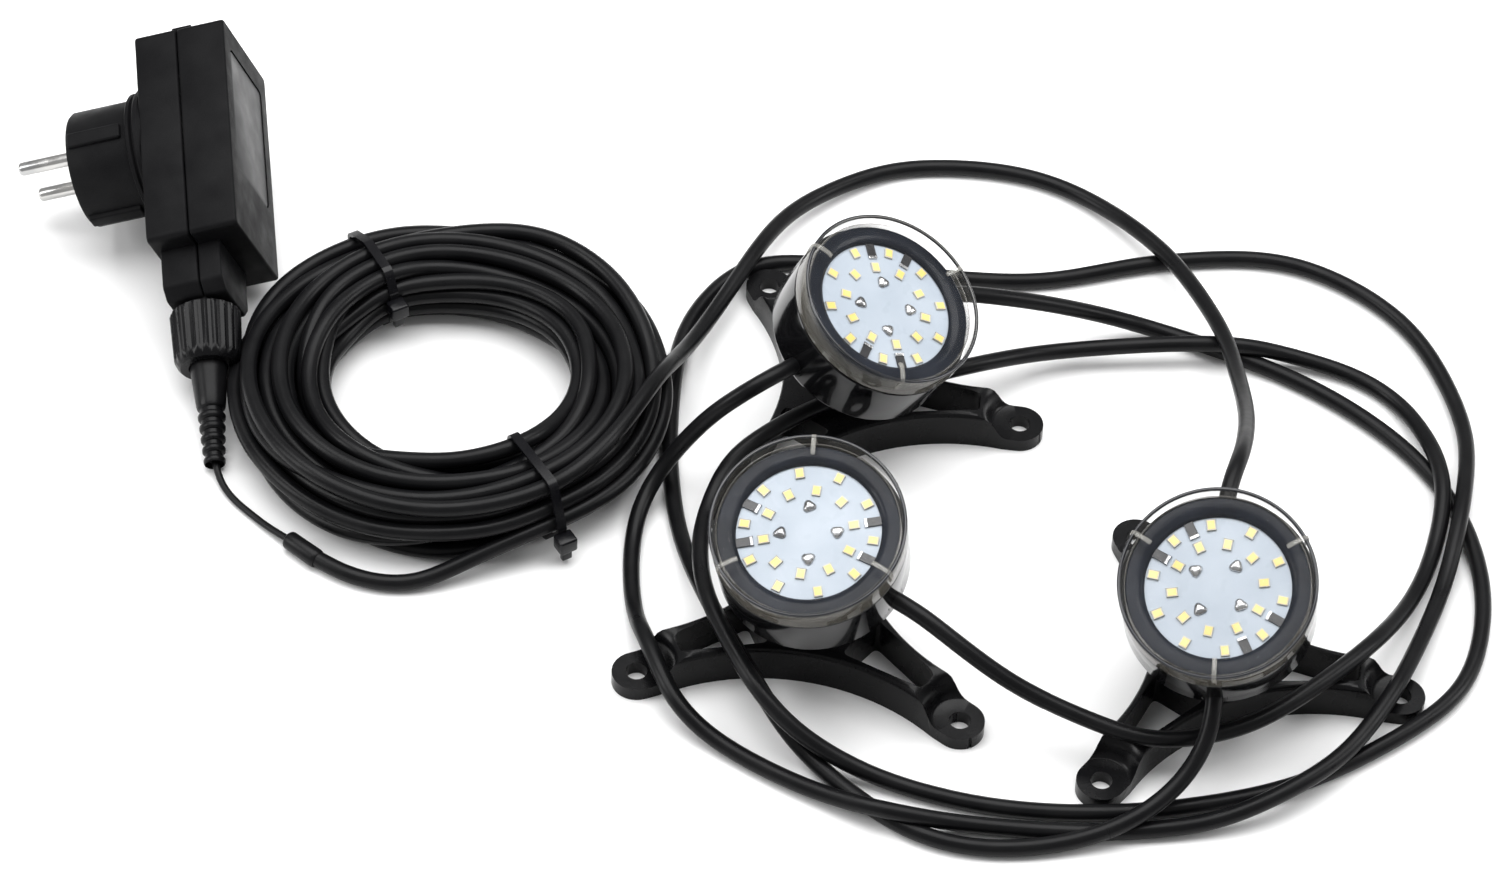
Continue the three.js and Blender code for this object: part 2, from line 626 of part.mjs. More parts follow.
// Cable route between two entries, straight where it enters each of them.
function entryToEntry(from, route, to) {
  return [
    entryPoint(...from, CABLE_END), entryPoint(...from, 39),
    ...route,
    entryPoint(...to, 39), entryPoint(...to, CABLE_END),
  ];
}

function addCables() {
  const ring = addMesh(object, 'supply_cable_coil', turned(coilSection(0), 40), RUBBER);
  ring.position.set(COIL.x, COIL.y, 0);
  TIES.forEach((tie, i) => {
    const band = addMesh(object, `cable_tie_${i + 1}`, tieGeometry(tie), PLASTIC);
    band.position.set(COIL.x, COIL.y, 0);
  });
  addMesh(object, 'thin_lead', tube(THIN_LEAD, LEAD), RUBBER);
  addMesh(object, 'splice_sleeve', sleeveGeometry(), RUBBER);
  addMesh(object, 'supply_cable_start', tube(CABLE_START, CABLE), RUBBER);
  const run = [...SUPPLY_RUN, entryPoint(3, 193, 39), entryPoint(3, 193, CABLE_END)];
  addMesh(object, 'supply_cable_run', tube(run, CABLE), RUBBER);
  const first = entryToEntry([3, 13], LINK_1, [1, 248]);
  addMesh(object, 'link_cable_1', tube(first, CABLE), RUBBER);
  const second = entryToEntry([1, 68], LINK_2, [2, 78]);
  addMesh(object, 'link_cable_2', tube(second, CABLE), RUBBER);
}

LAMPS.forEach((lamp, i) => addLamp(i + 1, lamp));
addPowerSupply();
addCables();
object.children.forEach((child) => child.position.add(RECENTRE));

export default object;
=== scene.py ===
"""Looks for the set of pond lights: three spotlights, cables, a coil and the power supply."""

import math

import bmesh
import bpy
import numpy as np
from mathutils import Matrix, Vector
from mathutils.geometry import convex_hull_2d


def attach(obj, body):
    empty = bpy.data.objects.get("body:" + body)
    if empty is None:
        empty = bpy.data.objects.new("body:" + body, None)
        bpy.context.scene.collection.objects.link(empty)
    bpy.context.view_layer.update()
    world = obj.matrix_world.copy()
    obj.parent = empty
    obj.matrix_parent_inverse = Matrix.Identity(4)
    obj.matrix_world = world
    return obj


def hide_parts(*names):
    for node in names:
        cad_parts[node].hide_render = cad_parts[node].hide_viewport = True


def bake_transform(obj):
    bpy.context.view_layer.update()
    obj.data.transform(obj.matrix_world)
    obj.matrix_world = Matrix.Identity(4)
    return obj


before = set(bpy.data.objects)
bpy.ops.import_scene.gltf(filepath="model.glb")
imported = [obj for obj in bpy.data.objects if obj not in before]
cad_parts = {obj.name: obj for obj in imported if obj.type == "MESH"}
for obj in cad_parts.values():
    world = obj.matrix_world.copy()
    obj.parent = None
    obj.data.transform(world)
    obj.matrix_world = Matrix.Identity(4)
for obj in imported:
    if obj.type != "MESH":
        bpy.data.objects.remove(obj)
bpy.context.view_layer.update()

# ---------------- dimensions
# Millimetres, as in the CAD model. The CAD model shifts everything by RECENTRE.
MM = 0.001
RECENTRE = Vector((1.594, 0.215, 0.0))

TO_WORLD = Matrix.Scale(MM, 4) @ Matrix.Translation(RECENTRE)
IDENTITY = Matrix.Identity(4)

CAMERA_PLACE = Vector((-91, -1128.3, 1247.1))
CAMERA_TILT = 46.9
CAMERA_ROLL = 2.47
CAMERA_LENS = 122.16
SOFT_BOXES = [                  # name, place, aim, size in metres and power in watts
    ("overhead", (-0.1, 0.25, 1.45), (-0.08, 0, 0), (1.9, 1.3), 38),
    ("left", (-1.5, -0.2, 0.8), (-0.1, 0, 0), (0.5, 0.9), 10),
    ("right", (1.4, 0.1, 0.8), (0, 0, 0), (0.5, 0.9), 9),
]
WORLD_LIGHT = 0.45

CABLE = 5.6
LEAD = 2.4
PATH_GAP = 2.0                  # between the points of a smoothed route
BEND_EASE = 4                   # width of the average that eases a route's bends, in points
TAIL = 58                       # the last stretch at each end of a cable, made as a mesh of its own

FOOT_REACH = 60.5
FOOT_RADIUS = 8.0
FOOT_HOLE = 3.5
FOOT_THICK = 5.0
BRACKET_HEIGHT = 14.0
BRACKET_WAIST = 20.0
HUB_HOLE = 3.4
CUT_THROUGH = (-5, 30)          # heights between which a cut goes through the whole bracket

BALL_HEIGHT = 30.6
BALL_RADIUS = 6.9
CAP_BACK = 29.0
CAP_FRONT = 38.0
CAP_RADIUS = 31.3
HOUSING_RADIUS = 31.1
RIM_RADIUS = 29.0
HEAD_BACK = 8.2
WINDOW_RADIUS = 23.0
BOARD_TOP = 31.6
GLAND_AT = 13.5
GLAND_RADIUS = 4.4
GLAND_END = 30.7
CABLE_END = 29.5                # where a cable ends inside its entry, from the head's axis
CABLE_STRAIGHT = 39             # as far as this a cable runs straight out of its entry

LED_RINGS = ((20.6, 27), (14.4, 9))             # radius, and the angle of the first LED
LEDS_IN_RING = 10
RESISTOR_TURNS = (9, -27, 153, 189)
RESISTOR_AT = 21.0
SOLDER_AT = 9.0
SOLDER_RADIUS = 2.1

# Place of each bracket, then degrees: a leg, the head's direction and lean, and in the head
# its first cable entry, its board and a rib of its cover.
LAMPS = [
    {"x": -61, "y": 51.5, "leg": -5, "toward": -25.9, "lean": 26.1, "ports": 68, "board": 126,
     "cap": 66},
    {"x": -68, "y": -47.4, "leg": -38.1, "toward": -108.5, "lean": 19.1, "ports": 78,
     "board": 108.5, "cap": 195.5},
    {"x": 61, "y": -58.7, "leg": -7.3, "toward": -106.8, "lean": 25.7, "ports": 13, "board": 66.8,
     "cap": 133.8},
]
# The lamp and the angle of its entry, at the two ends of each cable.
LINK_1_ENDS = ((3, 13), (1, 248))
LINK_2_ENDS = ((1, 68), (2, 78))
SUPPLY_ENTRY = (3, 193)

SUPPLY_AT = Vector((-280.6, 123.7, 37.0))
SUPPLY_TOWARDS_LEAD = Vector((0.142, -0.95, -0.277))
SUPPLY_AWAY_FROM_PLUG = Vector((0.956, 0.059, 0.287))
SUPPLY_BOX = (45.0, 80.4, 32.0)
SHELL_GAP = 0.35
LABEL = (33.0, 47.0)
LABEL_MIDDLE = -8.0
SEAM = -1.2
OUTLET_HALF = 14.0
OUTLET_BACK = -15.0
OUTLET_FRONT = 7.0
OUTLET_END = 58.0
OUTLET_MIDDLE = -4.0
PIN_SPACING = 19.0
PIN_RADIUS = 2.4
PLUG_SHIFT = -6.0
NUT_END = 80.0
BOOT_END = 114.5

COIL_CENTRE = (-191.7, 45)
COIL_STRETCH = 1.035
COIL_SECTION = ((55.9, 18.2), (13.8, 14.9))     # middle and half size, radius then height
COIL_TURNS = 22
COIL_SLICES = 72                # points in a turn
COIL_END = (-140, 4, 28)
COIL_REACH = 95                 # cables further out than this don't press on the coil
PRESS_ROUNDS = 400
TURN_DISTANCE = CABLE + 0.15    # between the middles of two turns that touch
LOOSE_ENDS = (26, 22)           # points over which the strand goes to its two fixed ends
FREE_ENDS = (30, 26)            # points over which the section's limit takes hold
LAST_EASING = 0.97              # share of the rounds in which the strand is also evened out
BLUR_STAGES = ((0.45, 5), (0.75, 3), (0.93, 2), (1.0, 1))   # until this share of the rounds, blur
TIES = ((122, -1, 15), (-57, 1, 9))             # angle, inside or outside, height of the lock
TIE_HALF_WIDTH = 1.6
TIE_THICKNESS = 1.3
SPLICE_AT = (-235.5, -22.5, 3.3)
SPLICE_TURN = -39

THIN_LEAD = [
    (-268.8, 19, 5.4), (-268.1, 14.6, 4.1), (-266.2, 8, 2.3), (-261, 0, 1.6), (-254, -6.5, 1.6),
    (-247.5, -12.8, 2), (-242, -17.3, 3.3), (-238.8, -19.8, 3.3),
]
CABLE_START = [
    (-231.6, -25.6, 3.3), (-226.2, -30, 3.2), (-218, -34, 3.1), (-208, -35.9, 3.1),
    (-197, -36, 3.1),
]
SUPPLY_RUN = [
    (-132, 18, 27.6), (-122, 42, 26), (-115.5, 62, 15), (-108, 82, 9), (-98, 104, 9.6),
    (-89, 125, 9), (-77, 145, 6.4), (-46, 168, 3.2), (-25, 171, 3.2), (-5, 170, 3.2),
    (12, 165, 3.2), (28, 154, 4), (41, 138, 8), (52, 123, 9.6), (68, 83, 15), (71, 61, 20),
    (72.1, 32.2, 32), (69.5, 4.8, 48.5), (66.6, -13.1, 58), (64, -22.6, 60.6),
]
LINK_1 = [
    (56.5, -102.9, 21.8), (53.3, -108.2, 17.2), (48.5, -113.6, 13), (41.8, -119.3, 10.2),
    (33, -126, 8.8), (20, -130, 4.6), (-8, -135, 3.2), (-34, -130, 3.2), (-71, -99, 5),
    (-88, -78, 16.8), (-102, -49, 16.5), (-113, -8, 4), (-117, 20, 3.2), (-118, 48, 3.2),
    (-114, 88, 3.2), (-97, 115, 3.2), (-84, 120, 3.2), (-31, 116, 3.2), (7, 116, 3.2),
    (49, 128, 3.2), (94, 130, 3.2), (131, 104, 3.2), (149, 56, 3.9), (147.5, 26, 8), (143.5, 4, 9),
    (138, -18, 4.8), (118, -70, 11), (110, -83, 9.4), (101, -95.5, 8.6), (87, -108, 9),
    (73, -117, 8.4), (60, -121.5, 5), (24, -126.5, 3.2), (-23, -126, 4.5), (-42, -126, 8.7),
    (-58, -119, 4.8), (-78, -109, 3.5), (-101, -94, 4.2), (-112, -85, 9.8), (-118, -71, 11.8),
    (-123, -58, 11.6), (-125.5, -47, 4.6), (-128, -28, 3.3), (-128, -10, 3.2), (-126, 3, 6),
    (-120, 13.3, 11), (-112.7, 16.2, 21.5), (-103.8, 16.7, 34.5), (-96.5, 15.6, 43.5),
    (-89.8, 17.3, 48.3),
]
LINK_2 = [
    (-17, 78, 33.5), (5, 84, 25), (24, 91, 14), (41, 95, 5), (82, 80, 3.2), (108, 64, 3.2),
    (132, 40, 3.2), (146, 13, 3.2), (151, -22, 3.2), (144, -56, 3.2), (133, -71, 3.2),
    (91, -101.5, 3.2), (59, -113, 3.2), (21, -119, 3.2), (-17, -117, 3.2), (-52, -107, 5),
    (-76, -98, 16), (-86, -89, 22.6), (-93, -75.5, 23), (-100, -60, 23), (-104, -47, 22.6),
    (-105, -8, 11), (-97, 14, 16.5), (-90, 21, 17.6), (-68, 39.6, 17.4), (-53, 46, 17.4),
    (-22, 59, 17.3), (11, 77, 8.8), (74, 84, 8.8), (95, 83, 4.5), (114, 77, 3.2),
    (128, 65, 3.2), (140, 26, 8.8), (135, -5, 4.3), (126, -28, 6.5), (112, -54, 16.5),
    (104, -63.5, 17.6), (80, -85.5, 17.6), (66, -93, 15.8), (52, -97, 15.6), (37, -100, 17.4),
    (23, -95, 18.2), (11, -91.3, 20.5), (-1, -87.9, 24.5), (-7.5, -85.9, 27.5), (-14, -83, 30.5),
    (-20.2, -80.2, 34), (-26.5, -77.4, 37.3),
]


# ---------------- objects
def new_object(name, data):
    """A mesh, curve, light or camera as an object of the scene."""
    obj = bpy.data.objects.new(name, data)
    bpy.context.scene.collection.objects.link(obj)
    return obj


def give_look(obj, material):
    """Make this an object's only material."""
    obj.data.materials.clear()
    obj.data.materials.append(material)


def keep(obj, body, slot, *nodes):
    """Make an object part of a body and say which nodes it replaces. The slot argument is not used.
    """
    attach(obj, body)
    if nodes:
        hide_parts(*nodes)
    return obj


# ---------------- camera
def make_camera():
    """A camera with the photograph's place, tilt, roll and field of view."""
    tilt, roll = math.radians(CAMERA_TILT), math.radians(CAMERA_ROLL)
    forward = Vector((0, math.cos(tilt), -math.sin(tilt)))
    level = Vector((1, 0, 0))
    above = level.cross(forward)
    right = math.cos(roll) * level + math.sin(roll) * above
    up = -math.sin(roll) * level + math.cos(roll) * above
    data = bpy.data.cameras.new("camera")
    data.lens = CAMERA_LENS
    data.sensor_width = 36
    data.sensor_fit = "HORIZONTAL"
    data.clip_start = 0.05
    data.clip_end = 20
    camera = new_object("camera", data)
    place = (CAMERA_PLACE + RECENTRE) * MM
    turn = Matrix((right, up, -forward)).transposed()
    camera.matrix_world = Matrix.Translation(place) @ turn.to_4x4()
    bpy.context.scene.camera = camera


# ---------------- materials
def set_inputs(node, **values):
    """Put plain values on a node's inputs. An input's name has _ for each space."""
    for socket, value in values.items():
        node.inputs[socket.replace("_", " ")].default_value = value
    return node


def add_node(material, kind, **values):
    """A new shader node with plain values on its inputs."""
    return set_inputs(material.node_tree.nodes.new(kind), **values)


def principled(name, colour, roughness, **extra):
    """A new material and its main shader, with plain values set on the shader itself."""
    material = bpy.data.materials.new(name)
    material.use_nodes = True
    shader = material.node_tree.nodes["Principled BSDF"]
    set_inputs(shader, Base_Color=(*colour, 1), Roughness=roughness, **extra)
    return material, shader


def noise(material, scale, detail=2.0):
    """Noise texture laid out in the object's own metres."""
    place = add_node(material, "ShaderNodeTexCoord")
    texture = add_node(material, "ShaderNodeTexNoise", Scale=scale, Detail=detail)
    material.node_tree.links.new(place.outputs["Object"], texture.inputs["Vector"])
    return texture.outputs["Fac"]


def spread(material, fac, low, high):
    """Map a noise value to a range."""
    node = add_node(material, "ShaderNodeMapRange", From_Min=0.3, From_Max=0.7, To_Min=low,
                    To_Max=high)
    material.node_tree.links.new(fac, node.inputs["Value"])
    return node.outputs["Result"]


def ramp(material, fac, *stops):
    """Colour between two tones by a value. A stop is a value and its tone."""
    node = add_node(material, "ShaderNodeValToRGB")
    for element, (position, tone) in zip(node.color_ramp.elements, stops):
        element.position = position
        element.color = (*tone, 1)
    material.node_tree.links.new(fac, node.inputs["Fac"])
    return node.outputs["Color"]


def bump(material, shader, fac, height):
    """Raise the surface by height metres where the noise is high."""
    node = add_node(material, "ShaderNodeBump", Strength=1.0, Distance=height)
    material.node_tree.links.new(fac, node.inputs["Height"])
    material.node_tree.links.new(node.outputs["Normal"], shader.inputs["Normal"])


def moulded(name, dark, light, rough, grain, height, reflects, metal):
    """Plastic, rubber or metal: slight tone change, roughness drift and a fine grain."""
    material, shader = principled(name, light, rough[1], Specular_IOR_Level=reflects,
                                  Metallic=metal)
    link = material.node_tree.links.new
    tone = ramp(material, noise(material, 60), (0.35, dark), (0.65, light))
    link(tone, shader.inputs["Base Color"])
    link(spread(material, noise(material, 140, 4), *rough), shader.inputs["Roughness"])
    bump(material, shader, noise(material, grain, 3), height)
    return material


def clear_plastic(name, facing, grazing):
    """See-through plastic, nearly invisible square on, denser and greyer at a glancing angle."""
    material, shader = principled(name, (0.6, 0.6, 0.58), 0.04, IOR=1.5)
    link = material.node_tree.links.new
    angle = add_node(material, "ShaderNodeLayerWeight", Blend=0.5).outputs["Facing"]
    link(ramp(material, angle, (0.3, [facing] * 3), (0.75, [grazing] * 3)), shader.inputs["Alpha"])
    link(ramp(material, angle, (0.3, (0.55, 0.54, 0.50)), (0.7, (0.13, 0.12, 0.10))),
         shader.inputs["Base Color"])
    link(spread(material, noise(material, 300, 3), 0.02, 0.06), shader.inputs["Roughness"])
    bump(material, shader, noise(material, 120, 2), 2e-5)
    return material


# Dark tone, light tone, roughness range, grain per metre and its height in metres, how strongly
# it reflects, and 1 for metal.
MOULDED = {
    "cable": ((0.0035, 0.0035, 0.004), (0.006, 0.006, 0.0065), (0.27, 0.38), 1500, 3e-5, 0.13, 0),
    "bracket": ((0.003, 0.003, 0.0035), (0.005, 0.005, 0.0055), (0.20, 0.32), 700, 2e-5, 0.15, 0),
    "housing": ((0.003, 0.003, 0.0035), (0.005, 0.005, 0.0055), (0.07, 0.13), 90, 1e-5, 0.35, 0),
    "ring": ((0.009, 0.011, 0.016), (0.014, 0.017, 0.025), (0.16, 0.26), 400, 1e-5, 0.12, 0),
    "supply": ((0.004, 0.004, 0.0045), (0.007, 0.007, 0.0075), (0.42, 0.58), 2600, 6e-5, 0.06, 0),
    "label": ((0.005, 0.005, 0.006), (0.008, 0.008, 0.009), (0.3, 0.4), 3000, 1e-5, 0.12, 0),
    "tie": ((0.003, 0.003, 0.004), (0.006, 0.006, 0.007), (0.16, 0.28), 500, 1e-5, 0.2, 0),
    "seal": ((0.008, 0.008, 0.008), (0.012, 0.012, 0.012), (0.5, 0.6), 900, 2e-5, 0.5, 0),
    "resin": ((0.02, 0.018, 0.016), (0.03, 0.028, 0.025), (0.3, 0.5), 200, 5e-5, 0.5, 0),
    "copper": ((0.25, 0.09, 0.03), (0.4, 0.16, 0.06), (0.3, 0.45), 900, 1e-4, 0.5, 1),
    "steel": ((0.42, 0.42, 0.42), (0.62, 0.61, 0.59), (0.14, 0.3), 900, 1e-5, 0.5, 1),
    "board": ((0.38, 0.43, 0.49), (0.42, 0.47, 0.53), (0.25, 0.36), 500, 1e-5, 0.3, 0),
    "led_body": ((0.50, 0.47, 0.38), (0.58, 0.55, 0.46), (0.35, 0.45), 900, 1e-5, 0.5, 0),
    "phosphor": ((0.80, 0.55, 0.15), (0.84, 0.64, 0.26), (0.25, 0.35), 2500, 1e-5, 0.5, 0),
    "solder": ((0.30, 0.30, 0.31), (0.62, 0.62, 0.62), (0.16, 0.34), 900, 1.5e-4, 0.5, 1),
    "resistor": ((0.012, 0.012, 0.014), (0.02, 0.02, 0.022), (0.25, 0.35), 900, 1e-5, 0.5, 0),
    # painted shade: a dark opaque ring along the clear cover's rim, standing in for the dark line
    # that the clear rim shows
    "painted_rim_shade": ((0.010, 0.011, 0.014), (0.018, 0.019, 0.024), (0.1, 0.2), 300, 1e-5, 0.5, 0),
}


def make_materials():
    """Every material of the set, by name."""
    m = {name: moulded(name, *values) for name, values in MOULDED.items()}
    m["clear"] = clear_plastic("clear", 0.006, 0.66)
    m["clear_rib"] = clear_plastic("clear_rib", 0.22, 0.9)
    return m


# ---------------- mesh tools
def spin(degrees, axis="Z"):
    """A turn about an axis."""
    return Matrix.Rotation(math.radians(degrees), 4, axis)


def smooth(mesh, sharp):
    """Smooth shading, but for edges sharper than an angle."""
    mesh.shade_smooth()
    mesh.set_sharp_from_angle(angle=math.radians(sharp))


def to_metres(points):
    """Points of the CAD model's own frame, in metres and recentred."""
    return [(Vector(p) + RECENTRE) * MM for p in points]


def add_mesh(name, vertices, faces, place, material, sharp=32):
    """A mesh from points in millimetres in a local frame, put in place and smoothed."""
    mesh = bpy.data.meshes.new(name)
    mesh.from_pydata([tuple(place @ Vector(v)) for v in vertices], [], faces)
    work = bmesh.new()
    work.from_mesh(mesh)
    bmesh.ops.remove_doubles(work, verts=work.verts, dist=1e-6)
    bmesh.ops.recalc_face_normals(work, faces=work.faces)
    work.to_mesh(mesh)
    work.free()
    smooth(mesh, sharp)
    mesh.materials.append(material)
    return new_object(name, mesh)


def circle(radius, height, sides):
    """Points round the local z axis."""
    angles = [2 * math.pi * i / sides for i in range(sides)]
    return [(radius * math.cos(a), radius * math.sin(a), height) for a in angles]


def skin(rings, around, closed):
    """Faces over rings of points that lie one after another: closed on itself, or with two caps."""
    faces = []
    for k in range(rings if closed else rings - 1):
        here, there = k * around, (k + 1) % rings * around
        for i in range(around):
            j = (i + 1) % around
            faces.append((here + i, here + j, there + j, there + i))
    if not closed:
        faces.append(tuple(reversed(range(around))))
        faces.append(tuple(range((rings - 1) * around, rings * around)))
    return faces


def lathe(name, profile, place, material, sides=96, sharp=32):
    """A profile of (radius, height) turned about the local z axis, from axis to axis or closed."""
    vertices = [p for r, z in profile for p in circle(r, z, sides)]
    faces = skin(len(profile), sides, profile[0][0] > 0 or profile[-1][0] > 0)
    return add_mesh(name, vertices, faces, place, material, sharp)


def arc(centre_r, centre_z, radius, start, end, steps):
    """Profile points on an arc, angles in degrees from the outward direction."""
    out = []
    for i in range(steps + 1):
        a = math.radians(start + (end - start) * i / steps)
        out.append((centre_r + radius * math.cos(a), centre_z + radius * math.sin(a)))
    return out


def average_along(padded, width, reach):
    """Gaussian average of each column, over reach places either way, which padded already holds."""
    kernel = np.exp(-0.5 * (np.arange(-reach, reach + 1) / width) ** 2)
    kernel = kernel / kernel.sum()
    return np.stack([np.convolve(column, kernel, "valid") for column in padded.T], -1)


def ease_bends(points, width):
    """Average along a curve that leaves its two ends where they are and pointing as they do."""
    reach = min(3 * width, len(points) - 1)
    before = 2 * points[0] - points[reach:0:-1]
    after = 2 * points[-1] - points[-2:-reach - 2:-1]
    return average_along(np.vstack([before, points, after]), width, reach)


def smooth_path(points, gap=PATH_GAP):
    """The route as a smooth curve, about gap millimetres apart: Catmull-Rom, then its bends eased."""
    p = np.array(points, float)
    p = np.vstack([2 * p[0] - p[1], p, 2 * p[-1] - p[-2]])

    def between(t, start, end, a, b):
        return (end - t) / (end - start) * a + (t - start) / (end - start) * b

    out = []
    for i in range(1, len(p) - 2):
        p0, p1, p2, p3 = p[i - 1:i + 3]
        t0 = 0.0
        t1 = t0 + np.linalg.norm(p1 - p0) ** 0.5
        t2 = t1 + np.linalg.norm(p2 - p1) ** 0.5
        t3 = t2 + np.linalg.norm(p3 - p2) ** 0.5
        count = max(2, int(round(np.linalg.norm(p2 - p1) / gap)))
        for t in np.linspace(t1, t2, count, endpoint=False):
            early = between(t, t0, t1, p0, p1)
            here = between(t, t1, t2, p1, p2)
            late = between(t, t2, t3, p2, p3)
            early = between(t, t0, t2, early, here)
            late = between(t, t1, t3, here, late)
            out.append(between(t, t1, t2, early, late))
    out.append(p[-2])
    return ease_bends(np.array(out), BEND_EASE)


def add_block(work, size, centre, turn, look, edge=0.0, steps=2):
    """One small block in a shared mesh, its edges rounded, turned about the local z axis."""
    made = bmesh.ops.create_cube(work, size=1)
    faces = {f for v in made["verts"] for f in v.link_faces}
    for v in made["verts"]:
        v.co = spin(turn) @ (v.co * Vector(size) + Vector(centre))
    for f in faces:
        f.material_index = look
    if edge:
        edges = list({e for f in faces for e in f.edges})
        done = bmesh.ops.bevel(work, geom=edges, offset=edge, segments=steps, affect="EDGES",
                               profile=0.5)
        for f in done["faces"]:
            f.material_index = look


def finish_work(work, name, place, materials):
    """Put a shared mesh in place and make it an object."""
    mesh = bpy.data.meshes.new(name)
    bmesh.ops.transform(work, matrix=place, verts=work.verts)
    bmesh.ops.recalc_face_normals(work, faces=work.faces)
    work.to_mesh(mesh)
    work.free()
    for material in materials:
        mesh.materials.append(material)
    return new_object(name, mesh)


def rounded_block(name, size, centre, edge, place, material):
    """A block with rounded edges, in local millimetres."""
    work = bmesh.new()
    add_block(work, size, centre, 0, 0, edge, 3)
    obj = finish_work(work, name, place, [material])
    smooth(obj.data, 50)
    return obj


def tube_mesh(name, points, radius, material, sides=20):
    """A round tube along points in millimetres, closed at both ends, as one mesh."""
    p = [Vector(q) for q in points]
    side = None
    vertices = []
    for i, q in enumerate(p):
        ahead = (p[min(i + 1, len(p) - 1)] - p[max(i - 1, 0)]).normalized()
        if side is None:
            side = ahead.orthogonal().normalized()
        side = (side - ahead * side.dot(ahead)).normalized()
        across = ahead.cross(side)
        for k in range(sides):
            a = 2 * math.pi * k / sides
            vertices.append(q + radius * (math.cos(a) * side + math.sin(a) * across))
    return add_mesh(name, vertices, skin(len(p), sides, False), TO_WORLD, material, 60)


def tube_curve(name, points, diameter, material, fine=4):
    """A round cable as a curve of one open spline."""
    curve = bpy.data.curves.new(name, "CURVE")
    curve.dimensions = "3D"
    curve.bevel_depth = diameter * MM / 2
    curve.bevel_resolution = fine
    curve.use_fill_caps = True
    spline = curve.splines.new("POLY")
    metres = to_metres(points)
    spline.points.add(len(metres) - 1)
    for point, place in zip(spline.points, metres):
        point.co = (*place, 1)
    spline.use_smooth = True
    curve.materials.append(material)
    return new_object(name, curve)


# ---------------- cables
def head_matrix(lamp):
    """From a head's own millimetres, ball centre at the origin, to the CAD frame's millimetres."""
    ball = Matrix.Translation((lamp["x"], lamp["y"], BALL_HEIGHT))
    return ball @ spin(lamp["toward"]) @ spin(lamp["lean"], "Y")


def entry(number, turn):
    """The two points where a cable ends in a lamp's entry and where it starts to bend."""
    a = math.radians(turn)
    return [tuple(head_matrix(LAMPS[number - 1])
                  @ Vector((reach * math.cos(a), reach * math.sin(a), GLAND_AT)))
            for reach in (CABLE_END, CABLE_STRAIGHT)]


def cut_at(points, length):
    """Index of the first point at least length millimetres along."""
    along = np.concatenate([[0], np.cumsum(np.linalg.norm(np.diff(points, axis=0), axis=1))])
    return int(np.searchsorted(along, length))


def first_of_tail(points):
    """Index where the last TAIL millimetres of a cable begin."""
    return len(points) - cut_at(points[::-1], TAIL) - 1


def add_tail(name, points, material):
    """The last stretch of a cable, as a mesh of its own. Its points start in the head."""
    tail = tube_mesh(name, points, CABLE / 2, material)
    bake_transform(tail)


def add_link(name, route, ends, material):
    """A cable from one lamp to the next: a middle curve on the base and a mesh of its own at each
    end.
    """
    start, end = ends
    points = smooth_path([*entry(*start), *route, *entry(*end)[::-1]])
    first = cut_at(points, TAIL)
    last = first_of_tail(points)
    middle = points[first:last + 1]
    cable = keep(tube_curve(name, middle, CABLE, material), "base", "cable_rubber", name)
    add_tail(f"{name}_start", points[:first + 1], material)
    add_tail(f"{name}_end", points[last:][::-1], material)
    return points


def polar_in_coil(p):
    """Radius and angle of a point about the coil's centre, the coil's slight stretch taken out."""
    x, y = (p[0] - COIL_CENTRE[0]) / COIL_STRETCH, p[1] - COIL_CENTRE[1]
    return math.hypot(x, y), math.degrees(math.atan2(y, x))


def loose_winding(turn):
    """Radius and height of the strand as it wanders about the section, before turns are pressed."""
    wander = 2 * np.pi * (0.29 * turn + 0.10 * np.sin(2 * np.pi * 0.31 * turn))
    reach = 0.30 + 0.62 * np.abs(np.sin(2 * np.pi * (0.143 * turn + 0.07)))
    middle, half = COIL_SECTION
    return np.stack([middle[0] + half[0] * reach * np.cos(wander),
                     middle[1] + half[1] * reach * np.sin(wander)], -1)


def ease_to(path, at, place, over):
    """Bring the winding to a fixed place at one of its ends."""
    away = np.clip(np.abs(np.arange(len(path)) - at) / over, 0, 1)
    own = (away * away * (3 - 2 * away))[:, None]
    return path * own + np.array(place) * (1 - own)


def blur_along(values, width):
    """Average along the strand, over about width slices each way."""
    padded = np.pad(values, ((3 * width, 3 * width), (0, 0)), mode="edge")
    return average_along(padded, width, 3 * width)


def push(gap, distance, present=1.0):
    """The sum of moves away from the others that are nearer than distance."""
    far = np.linalg.norm(gap, axis=-1) + 1e-6
    over = np.clip(distance - far, 0, None) * present
    return (gap / far[..., None] * over[..., None]).sum(-2)


def push_between(path, distance, neighbours):
    """How far each point moves away from other turns and other cables in its slice of the coil."""
    count = len(path)
    layers = -(-count // COIL_SLICES)
    filled = np.zeros((layers * COIL_SLICES, 3))
    filled[:count, :2] = path
    filled[:count, 2] = 1
    slices = filled.reshape(layers, COIL_SLICES, 3).transpose(1, 0, 2)
    places, there = slices[..., :2], slices[..., 2]
    present = there[:, :, None] * there[:, None] * (1 - np.eye(layers))
    move = push(places[:, :, None] - places[:, None], distance, present)
    for piece, near in neighbours.items():
        move[piece] += 2 * push(places[piece, :, None] - near[None], distance)
    return move.transpose(1, 0, 2).reshape(-1, 2)[:count]


def turned_from(angles, turn):
    """Degrees from a direction, between -180 and 180."""
    return (angles - turn + 180) % 360 - 180


def others_near(obstacles, first):
    """Radius and height of the points of other cables near the coil, by the slice they are in."""
    near = {}
    for p in obstacles:
        r, a = polar_in_coil(p)
        if r < COIL_REACH:
            piece = int(round((a - first) / (360 / COIL_SLICES))) % COIL_SLICES
            near.setdefault(piece, []).append((r, p[2]))
    return {piece: np.array(points) for piece, points in near.items()}


